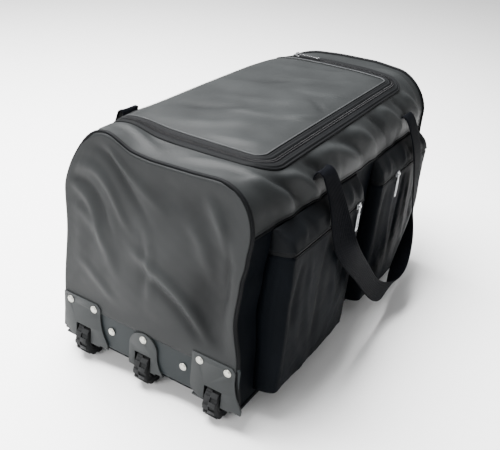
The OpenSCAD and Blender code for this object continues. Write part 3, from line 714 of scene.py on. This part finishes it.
end_cloth("tow_end_cloth", LENGTH, 3, 1, tow_lines, tow_caves, ["tow_end_panel"], 21)

# %% [markdown]
# ## Piping round the ends
# A thick black cord in bias tape covers the seam, and a thin pale cord inside it is a painted highlight
# along the piping. Both follow the arch's settled edge, which the end panel and the body's cloth share.


# %% Piping
def arch_path(x, inset, low, count=150):
    """Settled edge of the skin at one end from the near foot over the top to the far foot."""
    foot = crown(x) - ROUND - low
    s = np.linspace(-(FLAT + QUARTER + foot), FLAT + QUARTER + foot, count)
    point, out = skin(np.full(count, x), s)
    return settled(point) - out * inset, out


for name, x, way in (("wheel_end", 0.0, 1), ("tow_end", LENGTH, -1)):
    path, out = arch_path(x + way * 2.2, -0.6, 6)
    piece(f"{name}_cord", cord(path, 3.3, out), "bag", binding_tape, [f"{name}_piping"])
    # painted highlight: a thin pale cord just inside the piping
    path, out = arch_path(x - way * 0.6, 3.6, 79 if way > 0 else 8)
    piece(f"{name}_painted_highlight_line", cord(path, 1.15, out, 8), "bag", painted_highlight_cord)

# %% [markdown]
# ## Seams
# A seam shows as a low ridge with a row of stitches beside it. Each stitch is a pill of fourteen
# faces, and one function lays a row of them along any path.


# %% Stitches
def stitches(path, out, gap=4.6, length=3.0, thick=0.75):
    """Row of stitches: pills at even distances along a path, each lying on the surface below it."""
    walked = lengths(path)
    at = np.arange(gap / 2, walked[-1], gap)
    places = np.stack([np.interp(at, walked, path[:, k]) for k in range(3)], -1)
    forward = unit(np.stack([np.interp(at, walked, np.gradient(path[:, k], walked)) for k in range(3)], -1))
    up = np.broadcast_to(out, path.shape)
    up = unit(np.stack([np.interp(at, walked, up[:, k]) for k in range(3)], -1))
    across = unit(np.cross(up, forward))
    return repeat(pill(length, thick, thick), places, forward, across, up)


x_row = np.linspace(6, LENGTH - 6, 220)
rows, seams = [], []
for side in (-1, 1):
    s = side * (seam_place(x_row) - 1)
    inner = s - side * 6
    rows.append(stitches(on_skin(x_row, inner, top_folds(x_row, inner) + 0.3), skin(x_row, s)[1]))
    seams.append(cord(on_skin(x_row, s, top_folds(x_row, s) + 0.4), 1.7, skin(x_row, s)[1], 8))
piece("side_seams", seams, "bag", binding_tape)
piece("side_stitches", rows, "bag", thread)

# %% [markdown]
# ## The lid's zip
# The zip's tapes follow the lid's outline. A band is a profile of inset and height, carried round
# that line on the skin. The body's half is turned over into ridges, and each half of the chain is a
# coil, so its teeth are small bars set closely.


# %% Bands and teeth along the zip
def lid_band(profile, count=300):
    """Shell of a profile of (inset, height) carried along the zip line on the settled skin."""
    x, s, inward = zip_line(count)
    inset, height = np.asarray(profile, float).T
    points = on_skin(x[:, None] + inward[:, :1] * inset, s[:, None] + inward[:, 1:] * inset,
                     np.broadcast_to(height, (count, len(inset))))
    rows, columns = points.shape[:2]
    walked, round_it = lengths(np.stack([x, s], 1))[:, None], np.cumsum(np.ones(columns)) * 3
    cloth = np.stack(np.broadcast_arrays(walked, round_it), -1)
    faces = quads(rows, columns, ring=True)[:, ::-1].tolist()
    faces += [list(range(columns)), list(range(rows * columns - 1, (rows - 1) * columns - 1, -1))]
    return points.reshape(-1, 3), faces, cloth.reshape(-1, 2) / 1000


def lid_teeth(inset, gap, shift):
    """Coil teeth of one half of the chain: bars across the zip line at even distances."""
    x, s, inward = zip_line(1200)
    walked = lengths(np.stack([x, s], 1))
    at = np.arange(gap * (0.5 + shift), walked[-1], gap)
    x, s = np.interp(at, walked, x), np.interp(at, walked, s)
    nx, ns = np.interp(at, walked, inward[:, 0]), np.interp(at, walked, inward[:, 1])
    place = on_skin(x + nx * inset, s + ns * inset, np.full(len(at), 1.5))
    across = unit(on_skin(x + nx * (inset + 1), s + ns * (inset + 1), np.full(len(at), 1.5)) - place)
    out = skin(x, s)[1]
    return repeat(pill(3.4, 1.5, 1.7), place, across, unit(np.cross(out, across)), out)


outer_tape = [
    (-13.5, -0.4), (-13.2, 1.0), (-12.0, 2.4), (-10.6, 2.4), (-9.6, 1.0), (-8.4, 0.9), (-7.4, 2.1),
    (-5.8, 2.1), (-5.0, 0.9), (-3.8, 0.8), (-0.2, 1.1), (-0.2, 0.2), (-6.0, -0.4),
]
inner_tape = [
    (4.9, 1.1), (7.6, 0.9), (8.4, 1.9), (9.8, 1.9), (10.6, 0.9), (12.4, 0.9), (14.0, 1.9), (15.6, 1.6),
    (15.9, 0.2), (10, -0.5), (4.9, 0.2),
]
piece("body_zip_band", lid_band(outer_tape[::-1]), "bag", zip_tape, ["main_zip_body_half"])
piece("lid_zip_band", lid_band(inner_tape[::-1]), "lid", zip_tape, ["main_zip_lid_half"])
chain = lid_band([(-0.2, 0.3), (-0.2, 1.0), (2.2, 1.0), (2.2, 0.3)][::-1])
piece("body_coil", [lid_teeth(0.9, 2.7, 0), chain], "bag", coil_nylon)
chain = lid_band([(2.6, 0.3), (2.6, 1.0), (5.0, 1.0), (5.0, 0.3)][::-1])
piece("lid_coil", [lid_teeth(3.9, 2.7, 0.5), chain], "lid", coil_nylon)
# The lid's piping bead is real; its pale grey is a painted highlight along it.
angles = np.arange(10) * math.pi / 5
round_bead = np.stack([18.3 + 1.4 * np.cos(angles), 1.3 + 1.4 * np.sin(angles)], 1)
piece("lid_painted_highlight_cord", lid_band(round_bead[::-1]), "lid", grey_painted_highlight_cord, ["lid_piping"])

# %% [markdown]
# ## The lid's cloth
# The lid lies loosely, so it has long soft waves and a pinch beside its long run of zip. It turns
# with the lid's body, and its far edge meets the hinge's tape.

# %% Lid cloth
lid_x, lid_s = np.meshgrid(np.linspace(66, 574, 104), np.linspace(-134, HINGE - 0.7, 54), indexing="ij")
lid_x, lid_s = snapped(lid_x, lid_s, -7.0)
lid_lines = [
    (118, 40, 190, -60, 12, 3.0), (170, 90, 250, -20, 14, -2.5), (250, 60, 330, -90, 13, 3.0),
    (330, 110, 420, 0, 14, -2.6), (400, 60, 470, -80, 12, 2.6), (500, 100, 540, -60, 12, -2.2),
    (236, -70, 300, -118, 9, 3.2), (290, -112, 340, -60, 8, -2.6), (100, -20, 128, -100, 9, 2.2),
    (540, 20, 556, -80, 8, 2.2), (200, 20, 260, -110, 8, 2.4), (360, -20, 402, -116, 8, 2.4),
]
lid_folds = creases(lid_x, lid_s, lid_lines)
lid_folds = lid_folds + 2.4 * ripples(lid_x, lid_s, 110, 31) + 0.7 * ripples(lid_x, lid_s, 36, 32)
free = eased(-lid_distance(lid_x, lid_s), [17, 46], [0, 1]) * eased(HINGE - lid_s, [0, 30], [0, 1])
lid_folds = lid_folds * free + 2.5 * free
keep = lid_distance((lid_x[:-1, :-1] + lid_x[1:, 1:]) / 2, (lid_s[:-1, :-1] + lid_s[1:, 1:]) / 2) < -7
used = np.unique(quads(*lid_x.shape)[keep.ravel()])
lid_shell = grid(on_skin(lid_x, lid_s, lid_folds + 0.1), (lid_x, lid_s), keep, flip=True)
lid_cloth = piece("lid_cloth", lid_shell, "lid", shell_cloth, ["lid_panel"], fold_shade=lid_folds.ravel()[used])
thicken(lid_cloth, 2.2)
x_hinge = np.linspace(76, 564, 160)
hinge_across, hinge_out = np.tile([0, 0.9, -0.4], (160, 1)), np.tile([0, 0.4, 0.9], (160, 1))
hinge_path = on_skin(x_hinge, np.full(160, HINGE + 7), np.full(160, 0.6))
hinge = sweep(hinge_path, hinge_across, hinge_out, slab(12, 1.2))
piece("hinge_tape", hinge, "bag", binding_tape, ["lid_hinge_tape"])
hinge_rows = []
for beyond in (3.5, 10.5):
    row = on_skin(x_hinge, np.full(160, HINGE + beyond), np.full(160, 1.4))
    hinge_rows.append(stitches(row, np.array([0, 0.35, 0.93])))
piece("hinge_stitches", hinge_rows, "bag", thread)

# %% [markdown]
# ## Side pockets
# A pocket is a front with a gusset round three sides. Along each wall the cloth turns through a
# quarter of a narrow ellipse, which gives a soft but clear edge, and the front bellies out. The
# gusset's root follows the body's settled side.

# %% Pocket surfaces
DEPTH, POCKET_LONG, POCKET_LOW, MOUTH = 33.0, 245.0, 18.0, 256.0
ZIP_Z, HOOD_LOW, HOOD_TOP = 259.5, 263.0, 299.0
POCKETS = {"rear": 45.0, "front": 370.0}
quarter = np.linspace(0, math.pi / 2, 11)
wall_in, wall_out = 7 * (1 - np.cos(quarter)) ** 1.25, np.sin(quarter) ** 0.8


def walled(start, end, cells):
    """Places from one wall's root to the other's, and how far out each stands as a share of the depth."""
    middle = np.linspace(start + 7, end - 7, cells)[1:-1]
    place = np.concatenate([start + wall_in, middle, (end - wall_in)[::-1]])
    return place, np.concatenate([wall_out, np.ones(len(middle)), wall_out[::-1]])


def side_points(side, x, z, out, share):
    """Points that stand out from a long side; a share of 0 follows the settled side, 1 stands free."""
    plain = np.stack([x, side * np.full_like(x, HALF), z], -1)
    root = settled(plain)
    follow = (root - plain) * (1 - share)[..., None]
    return plain + follow + np.stack([np.zeros_like(x), side * out, np.zeros_like(x)], -1)


def pocket(side_name, end_name):
    """Front and gusset, hood, zip tapes, chain and seams of one side pocket."""
    side, x0, label = SIDES[side_name], POCKETS[end_name], f"{side_name}_{end_name}"
    seed = 40 + 7 * list(POCKETS).index(end_name) + int(side > 0)
    xs, share_x = walled(x0, x0 + POCKET_LONG, 50)
    foot = POCKET_LOW + wall_in
    zs = np.concatenate([foot, np.linspace(foot[-1], MOUTH, 46)[1:]])
    share_z = np.concatenate([wall_out, np.ones(45)])
    share = share_x[:, None] * share_z[None, :]
    x, z = np.broadcast_arrays(xs[:, None], zs[None, :])
    u, v = (x - x0) / POCKET_LONG, (z - POCKET_LOW) / (MOUTH - POCKET_LOW)
    belly = np.sin(np.pi * np.clip(u, 0, 1)) ** 0.7 * np.sin(np.pi * np.clip(v, 0, 1) ** 0.8) ** 0.9
    lines = [
        (x0 + 34, 250, x0 + 22, 120, 7, -2.6), (x0 + 60, 252, x0 + 76, 90, 9, 2.8),
        (x0 + 118, 254, x0 + 104, 60, 10, -3.0), (x0 + 150, 240, x0 + 168, 80, 9, 2.6),
        (x0 + 205, 252, x0 + 196, 110, 8, -2.4), (x0 + 225, 150, x0 + 160, 50, 10, 2.2),
        (x0 + 30, 110, x0 + 90, 40, 9, 2.0), (x0 + 12, 60, x0 + 50, 26, 7, 2.2),
    ]
    shape = creases(x, z, lines) + 1.6 * ripples(x, z * 0.5, 48, seed) + 0.5 * ripples(x, z, 18, seed + 3)
    held = eased(MOUTH - z, [0, 22], [0, 1]) * share**2
    folded = (shape + 6.5 * belly) * held
    sag = np.stack([np.zeros_like(x), np.zeros_like(x), -3.0 * np.sin(np.pi * u) * (1 - v) * share], -1)
    points = side_points(side, x, z, DEPTH * share + folded, share) + sag
    front = piece(f"{label}_pocket_cloth", grid(points, (x, z + DEPTH * share), flip=side > 0), "bag",
                  shaded_side_cloth, [f"{label}_pocket"], fold_shade=shape.ravel())
    thicken(front, 1.6)

    q = np.linspace(0, 1, 16)[None, :]
    hood_x = np.broadcast_to(xs[:, None], (len(xs), 16))
    lift = np.broadcast_to(q * (HOOD_TOP - HOOD_LOW), hood_x.shape)
    hood_out = share_x[:, None] * (DEPTH + 0.6 - q * (DEPTH - 2.0) + 5 * np.sin(np.pi * q) * share_x[:, None])
    hood_folds = creases(hood_x, lift * 2, [(x0 + k, 0, x0 + k + d, 76, 6, h) for k, d, h in (
        (30, 14, 2.2), (70, -16, -2.0), (104, 20, 2.4), (150, -12, -2.0), (188, 16, 2.2), (220, -12, -1.6))])
    hood_folds = hood_folds + 1.4 * ripples(hood_x, lift * 2, 40, seed + 5)
    hood_folds = hood_folds * np.sin(np.pi * q) * share_x[:, None]
    free_share = share_x[:, None] * (1 - q) ** 0.7
    hood_points = side_points(side, hood_x, HOOD_LOW + lift, hood_out + hood_folds, free_share)
    hood = piece(f"{label}_shaded_hood_cloth", grid(hood_points, (hood_x, lift * 1.4), flip=side > 0), "bag",
                 shaded_hood_cloth, [f"{label}_pocket_hood"], fold_shade=hood_folds.ravel())
    thicken(hood, 1.6)

    tape_x, tape_z = np.broadcast_arrays(xs[:, None], np.linspace(MOUTH - 1.5, HOOD_LOW + 1.5, 5)[None, :])
    tape_share = np.broadcast_to(share_x[:, None], tape_x.shape)
    tape = side_points(side, tape_x, tape_z, (DEPTH - 0.9) * tape_share, tape_share)
    tapes = piece(f"{label}_zip_tapes", grid(tape, (tape_x, tape_z), flip=side > 0), "bag", zip_tape,
                  [f"{label}_pocket_zip"])
    thicken(tapes, 1.0)
    at = np.arange(x0 + 9, x0 + POCKET_LONG - 9, 2.7)
    teeth = []
    for d in (-0.85, 0.85):
        n = len(at)
        outward = np.full(n, side * (HALF + DEPTH + 0.1))
        place = np.stack([at + 1.35 * (d > 0), outward, np.full(n, ZIP_Z + d)], -1)
        teeth.append(repeat(pill(2.4, 1.4, 1.5), place, np.tile([0, 0, 1.0], (n, 1)),
                            np.tile([1.0, 0, 0], (n, 1)), np.tile([0, side, 0.0], (n, 1))))
    piece(f"{label}_coil", teeth, "bag", coil_nylon)

    out_way = np.array([0, side, 0.0])
    i, j = len(wall_in), len(foot)
    edge = np.vstack([points[i, :j:-1], points[i:-i, j], points[-i - 1, j:]]) + out_way * 0.5
    lip = points[:, -1][i - 3:-i + 3] + out_way * 0.7
    hood_lip = hood_points[:, 0][i - 3:-i + 3] + out_way * 0.6
    inset = np.vstack([points[i + 1, :j + 1:-1], points[i + 1:-i - 1, j + 1], points[-i - 2, j + 1:]])
    inset = inset + out_way * 0.3
    cords = [cord(edge, 1.5, out_way, 8), cord(lip, 1.3, out_way, 8), cord(hood_lip, 1.6, out_way, 8)]
    roots = np.vstack([points[1, ::-1], points[1:-1, 1], points[-2, :]])
    cords.append(cord(roots, 1.6, out_way, 8))
    piece(f"{label}_bindings", cords, "bag", binding_tape)
    sewn = [stitches(inset, out_way), stitches(points[:, -4][i:-i] + out_way * 0.3, out_way),
            stitches(hood_points[:, 2][i:-i] + out_way * 0.4, out_way)]
    piece(f"{label}_stitches", sewn, "bag", thread)


for side_name in SIDES:
    for end_name in POCKETS:
        pocket(side_name, end_name)

# %% [markdown]
# ## Rigid parts
# Housings, wheels, rivets, sliders and pulls keep their CAD shape. Real edges are never knife
# sharp, so each is a merged copy of its CAD mesh with its edges rounded.


# %% Rounded copies
def rounded(nodes, edge, material, sharp=40):
    """Merged copy of each CAD node. Edges sharper than an angle are rounded by a width in millimetres."""
    for node in nodes:
        source = frame["nodes"][node]
        mesh = source.data.copy()
        work = bmesh.new()
        work.from_mesh(mesh)
        bmesh.ops.remove_doubles(work, verts=work.verts, dist=2e-6)
        bmesh.ops.dissolve_limit(work, angle_limit=math.radians(1), verts=work.verts, edges=work.edges)
        work.to_mesh(mesh)
        work.free()
        obj = bpy.data.objects.new(f"{node}_part", mesh)
        scene.collection.objects.link(obj)
        mesh.materials.clear()
        mesh.materials.append(material)
        mesh.polygons.foreach_set("use_smooth", np.ones(len(mesh.polygons), bool))
        bevel = obj.modifiers.new("edges", "BEVEL")
        bevel.width, bevel.segments, bevel.limit_method = edge / 1000, 2, "ANGLE"
        bevel.angle_limit = math.radians(sharp)
        bevel.harden_normals = True
        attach(obj, body_of(source)[0])
        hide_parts(node)
    print(len(nodes), "rounded copies with edges of", edge, "mm")


wheels = ("far_wheel", "middle_wheel", "near_wheel")
rounded([f"{w}_housing" for w in wheels], 0.7, moulding)
rounded([f"{w}_hub" for w in wheels], 0.4, hub_moulding)
rounded([f"{w}_tyre" for w in wheels], 0.5, tread)
rounded(["housing_rivets", "strip_rivets", "rivet_washers"], 0.5, rivet_metal)
rounded(["wheel_axles"], 0.4, axle_steel)
pulls = [f"{a}_{b}_{c}" for a in SIDES for b in POCKETS for c in ("slider", "pull")]
rounded(pulls + ["main_slider", "main_pull"], 0.3, zip_metal)
for node in ("base_board", "backing_board"):
    board_mesh = frame["nodes"][node].data
    board_mesh.materials.clear()
    board_mesh.materials.append(stiff_board)

# %% [markdown]
# ## Kick strip and base
# A smooth coated strip protects the foot of the wheel end. It is sewn along its top, and the
# housings are riveted through it. The base is a flat cloth over a board, cut out for the wheels,
# with binding along its two long edges.

# %% Kick strip and base cloth
WHEELS = (127.0, 5.0, -127.0)


def in_well(y, height, room=18.0):
    """Whether a place lies in a wheel's well: within its width, and below its roof."""
    return np.any([(np.abs(y - w) < room) & (height < 38) for w in WHEELS], axis=0)


sy, sz = np.meshgrid(np.linspace(-168, 168, 113), np.linspace(4, 78, 26), indexing="ij")
bow = 0.35 * ripples(sy, sz, 50, 61) * eased(sz, [4, 16, 64, 74], [0, 1, 1, 0])
bow = bow + 0.9 * np.exp(-((sz - 75.5) / 1.6) ** 2)
outside_wells = ~in_well(sy[:-1, :-1] + 1.5, sz[:-1, :-1] + 1.5)
strip = grid(np.stack([-0.3 - bow, sy, sz], -1), (sy, sz), outside_wells)
strip_piece = thicken(piece("kick_strip_cloth", strip, "bag", strip_cloth, ["kick_strip"]), 0.9)
row_y = np.linspace(-166, 166, 200)
top_row = stitches(np.stack([np.full(200, -0.9), row_y, np.full(200, 71.5)], -1), np.array([-1.0, 0, 0]))
piece("strip_stitches", top_row, "bag", thread)
bx, by = np.meshgrid(
    np.linspace(0.5, LENGTH - 0.5, 129), np.linspace(-HALF + 0.5, HALF - 0.5, 69), indexing="ij"
)
pucker = 0.5 + 0.4 * ripples(bx, by, 60, 62)
cut = np.any([(np.abs(by - w) < 21) & (bx < 68) for w in WHEELS], axis=0)[:-1, :-1]
base = grid(np.stack([bx, by, pucker * eased(HALF - np.abs(by), [0, 6], [1.2, 1])], -1), (bx, by), ~cut)
base_cloth = thicken(piece("base_cloth", base, "bag", shaded_side_cloth, ["base_panel"]), 1.8)
x_edge = np.linspace(3, LENGTH - 3, 160)
edges = []
for side in (-1, 1):
    plain = np.stack([x_edge, np.full(160, side * HALF), np.full(160, 3.2)], -1)
    wave = 0.4 * ripples(x_edge, x_edge * 0, 80, 63 + side)
    edges.append(cord(plain + np.stack([0 * wave, wave, 0 * wave], -1), 2.7, np.array([0, side * 0.8, -0.6])))
piece("base_edge_binding", edges, "bag", binding_tape, ["base_binding"])

# %% [markdown]
# ## Carry handles
# Webbing is stiff across its width, so a handle is a flat profile carried along a curve whose
# width direction turns a little from point to point. It rises from its tab, folds over, hangs down
# the pockets and twists on its way to the lowest part of the loop.


# %% Webbing straps
def strap(points, turns, width, thick, count):
    """Shell of webbing along a spline: turns are the width's directions at the spline's points."""
    path = spline(points, count)
    forward = unit(np.gradient(path, axis=0))
    across = spline(turns, count)
    across = unit(across - forward * np.sum(across * forward, axis=1, keepdims=True))
    return sweep(path, across, unit(np.cross(forward, across)), slab(width, thick))


loop = [  # x, distance out from the side, height, then the width's direction (x, out, height)
    (158, 3.6, 331, 1, 0, 0), (159, 4.4, 340, 1, 0, 0), (160, 9, 345, 1, 0.02, 0),
    (163, 20, 336, 1, 0.05, 0), (167, 37, 296, 1, 0.2, 0.05), (174, 47, 258, 0.85, 0.4, 0.1),
    (187, 54, 224, 0.65, 0.5, 0.3), (216, 59, 190, 0.62, 0.3, 0.65), (260, 62, 150, 0.65, 0.1, 0.75),
    (323, 68, 90, 0.6, 0, 0.8), (370, 73, 60, 0.35, 0.1, 1), (410, 75, 54, -0.1, 0.4, 0.9),
    (448, 73, 74, -0.4, 0.85, 0.4), (484, 68, 104, -0.65, 0.75, 0.2), (510, 62, 142, -0.85, 0.45, 0.1),
    (521, 56, 186, -1, 0.15, 0.05), (521, 50, 234, -1, 0.05, 0), (518, 42, 280, -1, 0, 0),
    (517, 31, 312, -1, 0, 0), (517, 19, 336, -1, 0, 0), (518, 9, 345, -1, 0, 0), (518, 4.4, 340, -1, 0, 0),
    (518, 3.6, 331, -1, 0, 0),
]
loop = np.array(loop, float)
TAB_X = (156, 516)
for name, side in SIDES.items():
    place = np.stack([loop[:, 0], side * (HALF + loop[:, 1]), loop[:, 2]], -1)
    turn = np.stack([loop[:, 3], side * loop[:, 4], loop[:, 5]], -1)
    handle = piece(f"{name}_handle_webbing", strap(place, turn, 39, 2.4, 260), None, webbing,
                   [f"{name}_carry_handle"])
    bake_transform(handle, "bag", f"{name}_carry_handle", row_point(336, side * (HALF + 6), 338),
             row_point(336, side * (HALF + 30), 338))
    tabs, sewn = [], []
    for x in TAB_X:
        down = np.array([(x, HALF + 1.2, z) for z in np.linspace(292, 333, 18)], float)
        down[:, 1] *= side
        level_way, side_way = np.tile([1.0, 0, 0], (18, 1)), np.tile([0, side, 0.0], (18, 1))
        tabs.append(sweep(down, level_way, side_way, slab(40, 2.2)))
        for z in (306, 322):
            row = np.array([(x + d, side * (HALF + 2.5), z) for d in np.linspace(-17, 17, 30)], float)
            sewn.append(stitches(row, np.array([0, side, 0.0]), 3.8, 2.6))
    piece(f"{name}_tabs", tabs, "bag", webbing, [f"{name}_handle_tabs"])
    piece(f"{name}_tab_stitches", sewn, "bag", thread)

# %% [markdown]
# ## Tow handle
# Two straps hang from sewn patches at the tow end and wrap round a foam grip.

# %% Tow handle
GRIP_X, GRIP_Z, GRIP_HALF, STRAP_Y = 656.0, 140.0, 49.0, 65.0
straps, patches, sewn = [], [], []
for side in (-1, 1):
    y = side * STRAP_Y
    drop = np.array([
        (644.6, y, 233.6), (645.4, y, 228), (648.4, y, 206), (652, y, 178), (655.4, y, 152),
        (GRIP_X, y, GRIP_Z), (655, y, 135.6),
    ])
    straps.append(strap(drop, np.tile([0, 1.0, 0], (len(drop), 1)), 29, 2.3, 60))
    patch = np.array([(641.3, y, z) for z in np.linspace(234.6, 278, 16)], float)
    patches.append(sweep(patch, np.tile([0, 1.0, 0], (16, 1)), np.tile([1.0, 0, 0], (16, 1)), slab(39, 2.2)))
    corners = [(-15, 240), (15, 240), (-15, 273), (15, 273)]
    for a, b in ((0, 1), (2, 3), (0, 3), (2, 1), (0, 2), (1, 3)):
        k = np.linspace(0, 1, 24)
        (across_a, z_a), (across_b, z_b) = corners[a], corners[b]
        sewn_y = y + across_a + (across_b - across_a) * k
        row = np.stack([np.full(24, 642.6), sewn_y, z_a + (z_b - z_a) * k], -1)
        sewn.append(stitches(row, np.array([1.0, 0, 0]), 3.8, 2.6))
core_y = np.linspace(-81, 81, 60)
core = np.stack([np.full(60, GRIP_X), core_y, np.full(60, GRIP_Z)], -1)
straps.append(cord(core, 5.0, np.array([1.0, 0, 0]), 16))
piece("tow_webbing", straps, "tow_handle", webbing, ["tow_handle_strap"])
piece("tow_patches", patches, "bag", webbing, ["tow_handle_anchors"])
piece("tow_patch_stitches", sewn, "bag", thread)
k, a = np.meshgrid(np.linspace(-1, 1, 90), np.arange(32) * math.pi / 16, indexing="ij")
rim = 5.2 + (13.8 - 5.2) * np.clip(1 - np.abs(k) ** 24, 0, 1) ** 0.5
rim = rim - 0.45 * (0.5 + 0.5 * np.cos(k * 44 * math.pi)) * (np.abs(k) < 0.9)
grip_points = np.stack([GRIP_X + rim * np.cos(a), k * GRIP_HALF, GRIP_Z + rim * np.sin(a)], -1)
grip_faces = quads(90, 32, ring=True).tolist() + [list(range(31, -1, -1)), list(range(89 * 32, 90 * 32))]
grip = (grip_points.reshape(-1, 3), grip_faces, np.stack([k * GRIP_HALF, a * 14], -1).reshape(-1, 2) / 1000)
piece("tow_grip", grip, "tow_handle", foam, ["tow_handle_grip"])

# %% [markdown]
# ## Floor, light and camera
# The floor is pale and plain. A wide soft light hangs over the bag, a weaker one stands beyond its
# wheel end, and the sky gives an even grey-white fill, so the near side stays dark, helped by the
# painted shade of its cloth.

# %% Floor and lights
floor_mesh = bpy.data.meshes.new("floor")
floor_mesh.from_pydata([(-6, -6, 0), (6, -6, 0), (6, 6, 0), (-6, 6, 0)], [], [(0, 1, 2, 3)])
floor_finish = Finish("floor", base_color=(0.93, 0.93, 0.93, 1), roughness=0.9)
floor_mesh.materials.append(floor_finish.material)
floor = bpy.data.objects.new("floor", floor_mesh)
scene.collection.objects.link(floor)


def soft_light(name, at, aim, size, watts):
    """Square area light at a point, turned towards another."""
    data = bpy.data.lights.new(name, "AREA")
    data.size, data.energy = size, watts
    light = bpy.data.objects.new(name, data)
    light.location = at
    light.rotation_euler = (Vector(aim) - Vector(at)).to_track_quat("-Z", "Y").to_euler()
    scene.collection.objects.link(light)


soft_light("overhead", (-0.1, 0.7, 2.0), (0, 0, 0.2), 1.6, 340)
soft_light("wheel_end", (-2.2, 0.6, 1.0), (-0.2, 0, 0.2), 0.9, 42)
scene.world = bpy.data.worlds.new("studio")
scene.world.use_nodes = True
scene.world.node_tree.nodes["Background"].inputs["Color"].default_value = (1, 1, 1, 1)
scene.world.node_tree.nodes["Background"].inputs["Strength"].default_value = 0.55

# %% Camera
TARGET, DISTANCE = Vector((-0.02834, 0.0014, 0.16)), 1.2779
AZIMUTH, ELEVATION, ROLL = math.radians(-61.1935), math.radians(30.1488), math.radians(-4.7749)
flat_part = math.cos(ELEVATION)
back = Vector((math.sin(AZIMUTH) * flat_part, -math.cos(AZIMUTH) * flat_part, math.sin(ELEVATION)))
right = Vector((math.cos(AZIMUTH), math.sin(AZIMUTH), 0))
up = back.cross(right)
level, tip = math.cos(ROLL), math.sin(ROLL)
columns = (level * right - tip * up, tip * right + level * up, back)
camera = bpy.data.objects.new("camera", bpy.data.cameras.new("camera"))
camera.data.lens = 50.4
camera.matrix_world = Matrix.Translation(TARGET + back * DISTANCE) @ Matrix(columns).transposed().to_4x4()
scene.collection.objects.link(camera)
scene.camera = camera
print("camera at", tuple(round(c, 3) for c in camera.matrix_world.translation))
